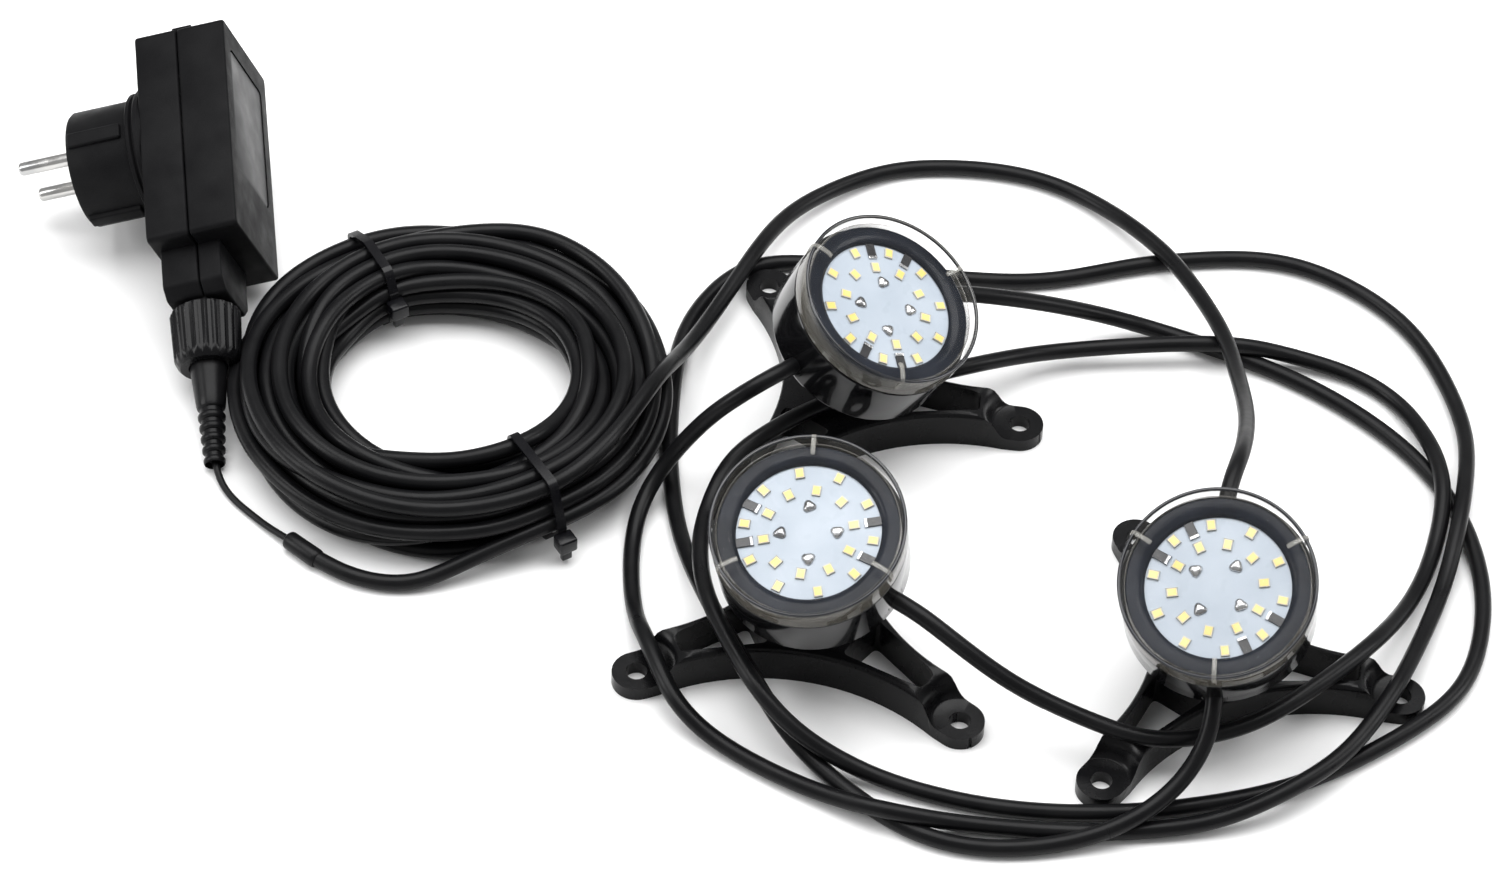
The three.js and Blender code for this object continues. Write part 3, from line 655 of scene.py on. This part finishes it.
def room_for_turns(angles):
    """Half size of the coil's section at each point: less under a tie, and lower by the lead."""
    pinch = np.zeros(len(angles))
    for turn, *_ in TIES:
        pinch = np.maximum(pinch, np.exp(-0.5 * (turned_from(angles, turn) / 11) ** 2))
    low_side = np.exp(-0.5 * (turned_from(angles, -15) / 30) ** 2)
    return (np.array(COIL_SECTION[1]) + 0.1 - pinch[:, None] * (2.6, 1.3)
            - low_side[:, None] * (0.0, 1.8))


def press_together(path, ends, room, neighbours):
    """Push turns apart, keep them in the section and even them out, round after round."""
    count = len(path)
    middle = np.array(COIL_SECTION[0])
    along = np.arange(count)
    free = np.minimum(along / FREE_ENDS[0], (count - 1 - along) / FREE_ENDS[1])
    free = np.clip(free, 0, 1)[:, None]
    for n in range(PRESS_ROUNDS):
        done = n / PRESS_ROUNDS
        width = next(blur for until, blur in BLUR_STAGES if done < until)
        distance = min(1, 0.45 + 1.1 * done) * TURN_DISTANCE
        move = push_between(path, distance, neighbours)
        path = path + (0.8 if width > 2 else 0.55) * blur_along(move, width)
        out = (np.abs((path - middle) / room) ** 4).sum(1) ** (1 / 4)
        excess = (np.clip(out - 1, 0, None) / np.maximum(out, 1))[:, None]
        path = path - 0.35 * free * excess * (path - middle)
        path[:, 1] -= 0.05
        if done < LAST_EASING:
            path[1:-1] += 0.3 * (path[:-2] - 2 * path[1:-1] + path[2:])
        path[:, 1] = np.maximum(path[:, 1], CABLE / 2 + 0.1)
        path[0], path[-1] = ends
    return path


def wind_coil(start, end, obstacles):
    """The coil's points: turns laid loosely, then pressed apart until they lie side by side."""
    ends = [(polar_in_coil(p)[0], p[2]) for p in (start, end)]
    first = polar_in_coil(start)[1]
    last = polar_in_coil(end)[1] + 360 * COIL_TURNS
    count = int(round((last - first) / (360 / COIL_SLICES))) + 1
    angles = np.linspace(first, last, count)
    path = loose_winding((angles - first) / 360)
    path = ease_to(path, 0, ends[0], LOOSE_ENDS[0])
    path = ease_to(path, count - 1, ends[1], LOOSE_ENDS[1])
    path = press_together(path, ends, room_for_turns(angles), others_near(obstacles, first))
    a = np.radians(angles)
    return np.stack([COIL_CENTRE[0] + COIL_STRETCH * path[:, 0] * np.cos(a),
                     COIL_CENTRE[1] + path[:, 0] * np.sin(a), path[:, 1]], -1)


def section_rim(coil, turn):
    """Points just round the strands of the coil's section at one direction, as radius and height."""
    rim = []
    for x, y, z in coil:
        dx, dy = x - COIL_CENTRE[0], y - COIL_CENTRE[1]
        if abs(turned_from(math.degrees(math.atan2(dy, dx)), turn)) < 4:
            r = math.hypot(dx, dy)
            rim += [(r + 3.0 * math.cos(k / 4), z + 3.0 * math.sin(k / 4)) for k in range(26)]
    return np.array([p for p in rim if p[1] > 0.15])


def tie_band(name, rim, place, material):
    """A flat band that lies tight round a section of the coil."""
    loops = []
    for grow, floor in ((0.0, 0.4), (TIE_THICKNESS, 0.05)):
        outline = rim[convex_hull_2d([tuple(p) for p in rim])]
        away = outline - rim.mean(0)
        away /= np.linalg.norm(away, axis=1)[:, None]
        moved = outline + away * grow
        moved[:, 1] = np.maximum(moved[:, 1], floor)
        loops.append(moved)
    inner, outer = loops
    vertices = [(r, y, z) for y, ring in ((-TIE_HALF_WIDTH, inner), (-TIE_HALF_WIDTH, outer),
                                          (TIE_HALF_WIDTH, outer), (TIE_HALF_WIDTH, inner))
                for r, z in ring]
    return add_mesh(name, vertices, skin(4, len(inner), True), place, material, 50)


def add_tie(number, turn, side, height, coil, material):
    """A band pulled round the coil, with its square lock and cut end on one side of it."""
    rim = section_rim(coil, turn)
    place = TO_WORLD @ Matrix.Translation((*COIL_CENTRE, 0)) @ spin(turn)
    reach = rim[:, 0].min() if side < 0 else rim[:, 0].max()
    band = tie_band(f"cable_tie_band_{number}", rim, place, material)
    lock = rounded_block(f"cable_tie_lock_{number}", (5.6, 6.4, 5.6),
                         (reach + side * 3.2, 0, height), 0.8, place, material)
    end = rounded_block(f"cable_tie_end_{number}", (2.0, 3.6, 5.5),
                        (reach + side * 3.6, 0, height - 4.4), 0.4, place, material)
    keep(band, "base", "tie_nylon", f"cable_tie_{number}")
    return [band, keep(lock, "base", "tie_nylon"), keep(end, "base", "tie_nylon")]


def add_splice(material):
    """The sleeve where the thin lead goes into the thick cable."""
    place = TO_WORLD @ Matrix.Translation(SPLICE_AT) @ spin(SPLICE_TURN) @ spin(90, "Y")
    profile = [(0, -7), *arc(1.6, -5.4, 1.6, -90, -10, 5), (3.2, -2), (3.3, 5.6), (3.1, 6.6),
               (2.8, 7), (0, 7)]
    sleeve = lathe("splice_sleeve_round", profile, place, material, 40, 50)
    return keep(sleeve, "base", "cable_rubber", "splice_sleeve")


def add_supply_cable(m, other_cable):
    """The long cable from the splice, through the coil, to lamp 3, in one strand."""
    to_lamp = [*SUPPLY_RUN, *entry(*SUPPLY_ENTRY)[::-1]]
    coil = wind_coil(CABLE_START[-1], COIL_END, [*other_cable, *smooth_path(to_lamp)])
    whole = smooth_path([*CABLE_START[:-1], *coil, *to_lamp], 2.2)
    last = first_of_tail(whole)
    main = whole[:last + 1]
    cable = keep(tube_curve("supply_cable", main, CABLE, m["cable"]), "base", "cable_rubber",
                 "supply_cable_start", "supply_cable_coil", "supply_cable_run")
    ties = [piece for number, tie in enumerate(TIES, 1)
            for piece in add_tie(number, *tie, coil, m["tie"])]
    sleeve = add_splice(m["cable"])
    add_tail("supply_cable_end", whole[last:][::-1], m["cable"])


def add_thin_lead(m):
    """The thin lead from the supply's boot to the splice."""
    points = smooth_path(THIN_LEAD, 1.2)
    lead = keep(tube_curve("thin_lead_wire", points, LEAD, m["cable"], 3), "base", "cable_rubber",
                "thin_lead")


def add_cables(m):
    """The two link cables, the supply cable with its coil, and the thin lead."""
    first = add_link("link_cable_1", LINK_1, LINK_1_ENDS, m["cable"])
    add_link("link_cable_2", LINK_2, LINK_2_ENDS, m["cable"])
    add_supply_cable(m, first)
    add_thin_lead(m)


# ---------------- lamps
def outline_of_bracket():
    """Plan outline: three round feet joined by hollowed side walls."""
    fx, fy = FOOT_REACH - 5, FOOT_RADIUS
    apart = math.radians(60) - math.atan2(fy, fx)
    reach = math.hypot(fx, fy)
    u, v = reach * math.cos(apart), reach * math.sin(apart)
    centre = (u * u + v * v - BRACKET_WAIST ** 2) / (2 * (u - BRACKET_WAIST))
    wall = centre - BRACKET_WAIST
    wide = math.asin(v / wall)
    out = []
    for leg in range(3):
        turn = Matrix.Rotation(math.radians(120 * leg), 2)
        for i in range(25):
            a = math.radians(-90 + 7.5 * i)
            out.append(turn @ Vector((FOOT_REACH + FOOT_RADIUS * math.cos(a),
                                      FOOT_RADIUS * math.sin(a))))
        turn = Matrix.Rotation(math.radians(120 * leg + 60), 2)
        for i in range(25):
            a = -wide + 2 * wide * i / 24
            out.append(turn @ Vector((centre - wall * math.cos(a), wall * math.sin(a))))
    return out


def prism(name, outline, low, high):
    """A closed prism over a plan outline, in local millimetres."""
    vertices = [(x, y, z) for z in (low, high) for x, y in outline]
    mesh = bpy.data.meshes.new(name)
    mesh.from_pydata(vertices, [], skin(2, len(outline), False))
    return new_object(name, mesh)


def rounded_corners(points, radius, steps=5):
    """A plan outline with each corner cut by a smooth curve."""
    out = []
    n = len(points)
    for i in range(n):
        here = Vector(points[i])
        before = Vector(points[i - 1]) - here
        after = Vector(points[(i + 1) % n]) - here
        a = here + before.normalized() * min(radius, before.length * 0.45)
        b = here + after.normalized() * min(radius, after.length * 0.45)
        for k in range(steps + 1):
            t = k / steps
            out.append(a * (1 - t) ** 2 + here * 2 * t * (1 - t) + b * t ** 2)
    return out


def disc(radius, x=0.0, sides=48):
    """Plan outline of a circle."""
    return [(x + px, py) for px, py, _ in circle(radius, 0, sides)]


def apply_modifiers(obj):
    """Bake the modifiers into the mesh and drop them."""
    depsgraph = bpy.context.evaluated_depsgraph_get()
    mesh = bpy.data.meshes.new_from_object(obj.evaluated_get(depsgraph))
    obj.modifiers.clear()
    obj.data = mesh


def combine(body, others, operation):
    """Join other objects to a body, or cut them out of it, and delete them."""
    for other in others:
        change = body.modifiers.new("combine", "BOOLEAN")
        change.operation = operation
        change.solver = "EXACT"
        change.object = other
        apply_modifiers(body)
        bpy.data.objects.remove(other)


def bevel(obj, width, segments, angle):
    """Round the edges sharper than angle and bake the result."""
    rounding = obj.modifiers.new("rounding", "BEVEL")
    rounding.width = width
    rounding.segments = segments
    rounding.limit_method = "ANGLE"
    rounding.angle_limit = math.radians(angle)
    rounding.use_clamp_overlap = True
    apply_modifiers(obj)


def bracket_mesh(material):
    """The three-legged bracket in its own millimetres: one mesh for all lamps."""
    body = prism("bracket_shape", outline_of_bracket(), 0, BRACKET_HEIGHT)
    work = bmesh.new()
    work.from_mesh(body.data)
    top = [e for e in work.edges if all(v.co.z > BRACKET_HEIGHT - 0.01 for v in e.verts)]
    bmesh.ops.bevel(work, geom=top, offset=2.0, segments=5, affect="EDGES", profile=0.5)
    work.to_mesh(body.data)
    work.free()
    window = rounded_corners([(19, -9.3), (46.8, -3.9), (46.8, 3.9), (19, 9.3)], 2.4)
    room = [(0, FOOT_THICK), (8.4, FOOT_THICK), (9.1, 5.2), (9.7, 5.9), (10.4, 7.4), (11.2, 9.6),
            (12.2, 11.6), (13.6, 12.9), (15.4, 13.6), (18, 14.05), (18, 20), (0, 20)]
    tools = []
    for leg in range(3):
        turn = spin(120 * leg)
        cutters = [
            prism("window", window, *CUT_THROUGH),
            prism("hole", disc(FOOT_HOLE, FOOT_REACH), *CUT_THROUGH),
            lathe("room", room, Matrix.Translation((FOOT_REACH, 0, 0)), material, 72),
        ]
        for cutter in cutters:
            cutter.data.transform(turn)
        tools += cutters
    tools.append(prism("hub_hole", disc(HUB_HOLE), *CUT_THROUGH))
    hollow = [(0, -5), (14, -5), (14, 9), (12, 10.5), (0, 10.5)]
    tools.append(lathe("hollow", hollow, IDENTITY, material, 64))
    combine(body, tools, "DIFFERENCE")
    bevel(body, 0.55, 3, 38)
    give_look(body, material)
    return body


def add_bracket(number, lamp, shape):
    """A copy of the bracket's shape under its lamp."""
    mesh = shape.data.copy()
    mesh.transform(TO_WORLD @ Matrix.Translation((lamp["x"], lamp["y"], 0)) @ spin(lamp["leg"]))
    smooth(mesh, 40)
    keep(new_object(f"bracket_{number}", mesh), "base", "bracket_plastic", f"lamp_{number}_bracket")


def add_stud(number, lamp, m):
    """The ball stud, upright through the middle of the bracket."""
    place = TO_WORLD @ Matrix.Translation((lamp["x"], lamp["y"], 0))
    ball = arc(0, BALL_HEIGHT, BALL_RADIUS, -62, 90, 24)
    profile = [(0, 3), (2.9, 3), (2.9, 14.3), (4.7, 14.3), (5, 14.6), (5, 15.7), (4.7, 16.1),
               (3.3, 16.6), (3, 17.2), (3, BALL_HEIGHT - 6.3), *ball[:-1],
               (0, BALL_HEIGHT + BALL_RADIUS)]
    keep(lathe(f"ball_stud_{number}", profile, place, m["bracket"], 48), "base", "bracket_plastic",
         f"lamp_{number}_ball_stud")


# Profiles of the head's turned pieces: radius and height over the ball's centre.
HOUSING_PROFILE = [
    (0, 7.6), *arc(0, 0, 7.6, 80, 8, 12), (8.4, 0.9), (9, 1.4), (9, 7.4), (9.8, HEAD_BACK),
    (28.6, HEAD_BACK), *arc(28.9, HEAD_BACK + 1.6, 1.6, -90, -15, 6), (30.75, HEAD_BACK + 1.7),
    (30.9, HEAD_BACK + 2.1), (HOUSING_RADIUS, 27.7), (30.9, 28.0), (30.6, 28.1), (28.4, 28.1),
    (28.6, 28.5), (RIM_RADIUS, 28.8), (RIM_RADIUS, 31.6), (28.8, 31.8), (27.2, 31.8),
    (27.2, 29.7), (0, 29.7),
]
CLAMP_PROFILE = [
    (9.3, 6.3), (9.3, 0.6), *arc(0, 0, 7.2, 3, -22, 8), (7.6, -3), (10.2, -3), (10.8, -2.7),
    (11.5, -2), (11.6, -1.6), (11.6, 5.6), (11.3, 6.2), (10.9, 6.3),
]
RING_PROFILE = [
    (WINDOW_RADIUS, 31.9), (28.9, 31.9), (28.9, 33.2), (28.6, 33.5), (26, 33.6), (24.2, 33.2),
    (23.2, 32.4),
]
SEAL_PROFILE = [(29.3, 28.35), (30.6, 28.35), (30.8, 28.5), (30.6, 28.75), (29.3, 28.75)]
BOARD_PROFILE = [(0, 30), (26.8, 30), (26.8, BOARD_TOP), (0, BOARD_TOP)]
CAP_PROFILE = [
    (0, 36.2), (27.6, 36.2), *arc(27.9, 34.9, 1.3, 90, 0, 8), (29.25, CAP_BACK),
    (29.4, CAP_BACK - 0.15), (31.1, CAP_BACK - 0.15), (CAP_RADIUS, CAP_BACK + 0.1),
    *arc(CAP_RADIUS - 1.5, CAP_FRONT - 1.5, 1.5, 0, 90, 10), (0, CAP_FRONT),
]
# A thin dark ring round the cover's front rim: painted shade, not a part of the cover.
RIM_SHADE_PROFILE = arc(CAP_RADIUS - 0.55, CAP_FRONT - 0.9, 0.62, 0, 330, 12)
GLAND = [
    (0, 26), (GLAND_RADIUS, 26), (GLAND_RADIUS, GLAND_END - 0.3), (4.1, GLAND_END),
    (3.2, GLAND_END), (2.95, GLAND_END - 0.3), (2.9, 28.4), (0, 28.4),
]
BLANK_PLUG = [
    (0, 26), (GLAND_RADIUS, 26), (GLAND_RADIUS, GLAND_END - 0.4), (4, GLAND_END), (0, GLAND_END),
]

# The head's turned pieces: name, profile, material, sides, sharp angle, slot and CAD node.
HEAD_ROUNDS = [
    ("housing", HOUSING_PROFILE, "housing", 128, 32, "housing_plastic", "housing"),
    ("clamp_ring", CLAMP_PROFILE, "bracket", 64, 32, "bracket_plastic", "clamp_ring"),
    ("inner_ring", RING_PROFILE, "ring", 128, 32, "ring_plastic", "inner_ring"),
    ("seal", SEAL_PROFILE, "seal", 96, 32, "seal_rubber", "seal"),
    ("light_board", BOARD_PROFILE, "board", 96, 32, "board_white", "light_board"),
    ("cover", CAP_PROFILE, "clear", 128, 60, "cover_plastic", "front_cap"),
    # the ring on the cover's rim is painted shade
    ("cover_rim_shade", RIM_SHADE_PROFILE, "painted_rim_shade", 128, 32, "cover_plastic", None),
]


def add_head(number, lamp, m):
    """The tilting head: turned pieces, the cover's ribs, cable entries and the board's parts."""
    body = f"head_{number}"
    place = TO_WORLD @ head_matrix(lamp)
    for name, profile, look, sides, sharp, slot, node in HEAD_ROUNDS:
        obj = lathe(f"{name}_{number}", profile, place, m[look], sides, sharp)
        keep(obj, body, slot, *([f"lamp_{number}_{node}"] if node else []))
    for k in range(3):
        turn = place @ spin(120 * k + lamp["cap"])
        keep(cap_rib(f"cover_rib_{number}_{k + 1}", turn, m["clear_rib"]), body, "cover_plastic")
    for side, node in ((0, "gland_in"), (180, "gland_out")):
        turn = place @ spin(lamp["ports"] + side)
        turn = turn @ Matrix.Translation((0, 0, GLAND_AT)) @ spin(90, "Y")
        profile = BLANK_PLUG if number == 2 and side else GLAND
        keep(lathe(f"{node}_{number}", profile, turn, m["housing"], 40), body, "housing_plastic",
             f"lamp_{number}_{node}")
    board = place @ spin(lamp["board"])
    keep(led_mesh(f"leds_{number}", board, m), body, "board_white")
    keep(resistor_mesh(f"resistors_{number}", board, m), body, "steel")
    keep(solder_mesh(f"solder_joints_{number}", board, m), body, "steel")


def cap_rib(name, place, material):
    """A short clear rib over the cover's front edge and down its skirt."""
    path = [(24.4, CAP_FRONT), (26, CAP_FRONT + 0.5), (28, CAP_FRONT + 0.6), (30, CAP_FRONT + 0.5),
            (31.2, CAP_FRONT - 0.3), (31.9, CAP_FRONT - 1.6), (31.9, CAP_FRONT - 4),
            (31.4, CAP_FRONT - 6)]
    vertices = []
    for r, z in path:
        low = (r - 0.9 if z < CAP_FRONT else r, z - 0.9)
        vertices += [(low[0], -0.75, low[1]), (r, -0.75, z), (r, 0.75, z), (low[0], 0.75, low[1])]
    rib = add_mesh(name, vertices, skin(len(path), 4, False), place, material, 60)
    bevel(rib, 0.25 * MM, 2, 40)
    return rib


def led_mesh(name, place, m):
    """Twenty LEDs in two rings."""
    work = bmesh.new()
    for radius, first in LED_RINGS:
        for i in range(LEDS_IN_RING):
            turn = first + 360 / LEDS_IN_RING * i
            add_block(work, (3.5, 2.8, 0.7), (radius, 0, BOARD_TOP + 0.35), turn, 0, 0.12)
            add_block(work, (2.7, 2.2, 0.1), (radius, 0, BOARD_TOP + 0.74), turn, 1)
    return finish_work(work, name, place, [m["led_body"], m["phosphor"]])


def resistor_mesh(name, place, m):
    """Four flat resistors with a metal strip at each end."""
    work = bmesh.new()
    for turn in RESISTOR_TURNS:
        add_block(work, (4.6, 3.0, 0.6), (RESISTOR_AT, 0, BOARD_TOP + 0.3), turn, 0, 0.1)
        for end in (-2.8, 2.8):
            add_block(work, (1.0, 3.1, 0.7), (RESISTOR_AT + end, 0, BOARD_TOP + 0.34), turn, 1, 0.15)
    return finish_work(work, name, place, [m["resistor"], m["solder"]])


def solder_mesh(name, place, m):
    """Four uneven solder joints."""
    work = bmesh.new()
    for turn in range(0, 360, 90):
        a = math.radians(turn)
        centre = Vector((SOLDER_AT * math.cos(a), SOLDER_AT * math.sin(a), BOARD_TOP))
        made = bmesh.ops.create_uvsphere(work, u_segments=16, v_segments=10, radius=SOLDER_RADIUS)
        for v in made["verts"]:
            wave = 1 + 0.14 * math.sin(3 * math.atan2(v.co.y, v.co.x) + turn)
            v.co = Vector((v.co.x * wave, v.co.y * wave, max(v.co.z, -0.1) * 0.6)) + centre
    joints = finish_work(work, name, place, [m["solder"]])
    joints.data.shade_smooth()
    return joints


# ---------------- power supply
def supply_matrix():
    """From the supply's own millimetres to the scene."""
    y = SUPPLY_TOWARDS_LEAD.normalized()
    x = y.cross(SUPPLY_AWAY_FROM_PLUG).normalized()
    z = x.cross(y)
    turn = Matrix((x, y, z)).transposed().to_4x4()
    return TO_WORLD @ Matrix.Translation(SUPPLY_AT) @ turn


def rectangle(width, length, middle=0.0):
    """Corners of a rectangle whose centre is at x = 0 and y = middle."""
    x, y = width / 2, length / 2
    return [(-x, middle - y), (x, middle - y), (x, middle + y), (-x, middle + y)]


def shell_part(name, low, high):
    """A box with rounded upright corners and softened rims, in local millimetres."""
    obj = prism(name, rounded_corners(rectangle(*SUPPLY_BOX[:2]), 2.2), low, high)
    bevel(obj, 0.9, 3, 60)
    return obj


def outlet_part(name, low, high):
    """Half of the outlet block at the supply's lead end."""
    h, end = OUTLET_HALF, OUTLET_END
    outline = [(-h, 36), (h, 36), (h, end - 4), (h - 4, end), (-h + 4, end), (-h, end - 4)]
    obj = prism(name, rounded_corners(outline, 1.2), low, high)
    bevel(obj, 0.8, 3, 60)
    return obj


def settle(obj, place, material):
    """Move a local shape into place, smooth it and give it its look."""
    obj.data.transform(place)
    smooth(obj.data, 35)
    give_look(obj, material)


def add_rear_shell(place, m):
    """The rear shell in one piece with its outlet half and the round plug head with four keys."""
    back = -SUPPLY_BOX[2] / 2
    plug_at = Matrix.Translation((0, PLUG_SHIFT, 0))
    rear = shell_part("supply_rear", back, SEAM)
    plug = [(0, -44), (18.1, -44), (19.3, -43.6), (20, -42.6), (20, -22.2), (21.6, -21.7),
            (22, -21.3), (22, -20.2), (21.2, -19.6), (21.4, -19.1), (22.6, -18.7), (23, -18.2),
            (23, -16.8), (22.6, -16.3), (22.3, -15.9), (22.3, back + 1), (0, back + 1)]
    parts = [outlet_part("outlet_rear", OUTLET_BACK + 1, SEAM),
             lathe("plug", plug, plug_at, m["supply"], 96)]
    for turn in range(0, 360, 90):
        turned = plug_at @ spin(turn)
        parts.append(rounded_block("key", (3.4, 5.4, 19), (19.8, 0, -33), 0.7, turned, m["supply"]))
    combine(rear, parts, "UNION")
    settle(rear, place, m["supply"])
    keep(rear, "base", "supply_plastic", "supply_rear_shell")


def add_front_shell(place, m):
    """The front shell with its outlet half, a small tab, and the label in its recess."""
    front = SUPPLY_BOX[2] / 2
    low = SEAM + SHELL_GAP
    cover = shell_part("supply_front", low, front)
    tab = rounded_block("tab", (8, 1.6, 7), (17, -SUPPLY_BOX[1] / 2 - 0.2, SEAM + 1.8), 0.4,
                        IDENTITY, m["supply"])
    combine(cover, [outlet_part("outlet_front", low, OUTLET_FRONT), tab], "UNION")
    recess = rounded_corners(rectangle(*LABEL, LABEL_MIDDLE), 3)
    combine(cover, [prism("recess", recess, front - 1, front + 3)], "DIFFERENCE")
    settle(cover, place, m["supply"])
    keep(cover, "base", "supply_plastic", "supply_front_shell")

    outline = rounded_corners(rectangle(LABEL[0] - 1, LABEL[1] - 1, LABEL_MIDDLE), 2.6)
    plate = prism("label_plate", outline, front - 1.0, front - 0.25)
    bevel(plate, 0.2, 2, 60)
    settle(plate, place, m["label"])
    keep(plate, "base", "supply_plastic", "supply_label_plate")


def add_supply(m):
    """The power supply. Returns the two pieces that the thin lead comes out of."""
    place = supply_matrix()
    add_rear_shell(place, m)
    add_front_shell(place, m)
    pin = [(0, -64), *arc(PIN_RADIUS - 1.4, -62.6, 1.4, -90, 0, 6), (PIN_RADIUS, -53),
           (PIN_RADIUS, -42), (0, -42)]
    for number, side in ((1, -1), (2, 1)):
        pin_at = place @ Matrix.Translation((side * PIN_SPACING / 2, PLUG_SHIFT, 0))
        keep(lathe(f"plug_pin_{number}", pin, pin_at, m["steel"], 40), "base", "steel",
             f"supply_pin_{number}")
    outlet = place @ Matrix.Translation((0, 0, OUTLET_MIDDLE)) @ spin(-90, "X")
    socket = [(0, 50), (9, 50), (9, 64), (8, 65), (5.5, 65), (5.5, 60), (0, 60)]
    keep(lathe("outlet_socket", socket, outlet, m["supply"], 48), "base", "supply_plastic",
         "supply_outlet_socket")
    return [coupling_nut(outlet, m["bracket"]), lead_boot(outlet, m["cable"])]


def coupling_nut(place, material):
    """The ribbed nut that holds the lead's plug in the outlet."""
    ribs, fine = 22, 6
    start = OUTLET_END + 1
    rows = [(start, 0.86, 0.0), (start + 0.8, 0.97, 0.3), (start + 2, 1.0, 1.0),
            (NUT_END - 4, 0.95, 1.0), (NUT_END - 2.6, 0.92, 0.4), (NUT_END - 1, 0.86, 0.0),
            (NUT_END, 0.78, 0.0)]
    around = ribs * fine
    vertices = []
    for y, wide, depth in rows:
        for i in range(around):
            a = 2 * math.pi * i / around
            wave = max(0.0, math.cos(ribs * a)) ** 0.5
            r = 12.1 * wide - 0.75 * depth * (1 - wave)
            vertices.append((r * math.cos(a), r * math.sin(a), y))
    for r, y in [(6.7, NUT_END), (6.7, start + 12), (9.4, start + 10), (9.4, start)]:
        vertices += circle(r, y, around)
    faces = skin(len(vertices) // around, around, True)
    nut = add_mesh("coupling_nut_ribbed", vertices, faces, place, material, 28)
    return keep(nut, "nut", "supply_plastic", "coupling_nut")


def lead_boot(place, material):
    """The lead's plug and its boot: a smooth cone, then a ribbed strain relief."""
    profile = [(0, 66), (9, 66), (9, 69), (6.3, 71.5), (6.3, NUT_END + 1), (6.0, NUT_END + 4),
               (5.2, BOOT_END - 22), (5.0, BOOT_END - 20), (4.7, BOOT_END - 19)]
    y = BOOT_END - 18.4
    while y < BOOT_END - 2:
        slim = 0.06 * (y - BOOT_END + 18.4)
        profile += [(3.9 - slim, y), (3.9 - slim, y + 1.3), (4.4 - slim, y + 1.7),
                    (4.7 - slim, y + 2.3), (4.6 - slim, y + 3.4), (4.3 - slim, y + 3.8)]
        y += 4.1
    profile += [(3.0, BOOT_END - 1.5), (2.8, BOOT_END), (1.6, BOOT_END), (0, BOOT_END)]
    return keep(lathe("lead_plug_boot", profile, place, material, 56), "base", "cable_rubber",
                "lead_plug")


# ---------------- stage
def make_stage():
    """A pale plain floor, a large soft box above and weaker light all round."""
    floor_material, _ = principled("studio_floor", (0.86, 0.86, 0.86), 0.7)
    mesh = bpy.data.meshes.new("floor")
    mesh.from_pydata([(-6, -6, 0), (6, -6, 0), (6, 6, 0), (-6, 6, 0)], [], [(0, 1, 2, 3)])
    mesh.materials.append(floor_material)
    new_object("floor", mesh)
    for name, place, aim, size, power in SOFT_BOXES:
        light = bpy.data.lights.new(name, "AREA")
        light.shape = "RECTANGLE"
        light.size, light.size_y = size
        light.energy = power
        obj = new_object(name, light)
        obj.location = place
        obj.rotation_euler = (Vector(aim) - Vector(place)).to_track_quat("-Z", "Y").to_euler()
    world = bpy.data.worlds.new("studio")
    world.use_nodes = True
    set_inputs(world.node_tree.nodes["Background"], Color=(1, 1, 1, 1), Strength=WORLD_LIGHT)
    bpy.context.scene.world = world
    bpy.context.scene.view_settings.view_transform = "Standard"


# ---------------- main
make_camera()
materials = make_materials()
make_stage()
supply_pieces = add_supply(materials)
add_cables(materials)
bracket = bracket_mesh(materials["bracket"])
for number, lamp in enumerate(LAMPS, 1):
    add_bracket(number, lamp, bracket)
    add_stud(number, lamp, materials)
    add_head(number, lamp, materials)
    give_look(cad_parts[f"lamp_{number}_potting"], materials["resin"])
    give_look(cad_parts[f"lamp_{number}_stud_nut"], materials["steel"])
bpy.data.objects.remove(bracket)
give_look(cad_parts["supply_transformer_core"], materials["steel"])
give_look(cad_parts["supply_transformer_winding"], materials["copper"])
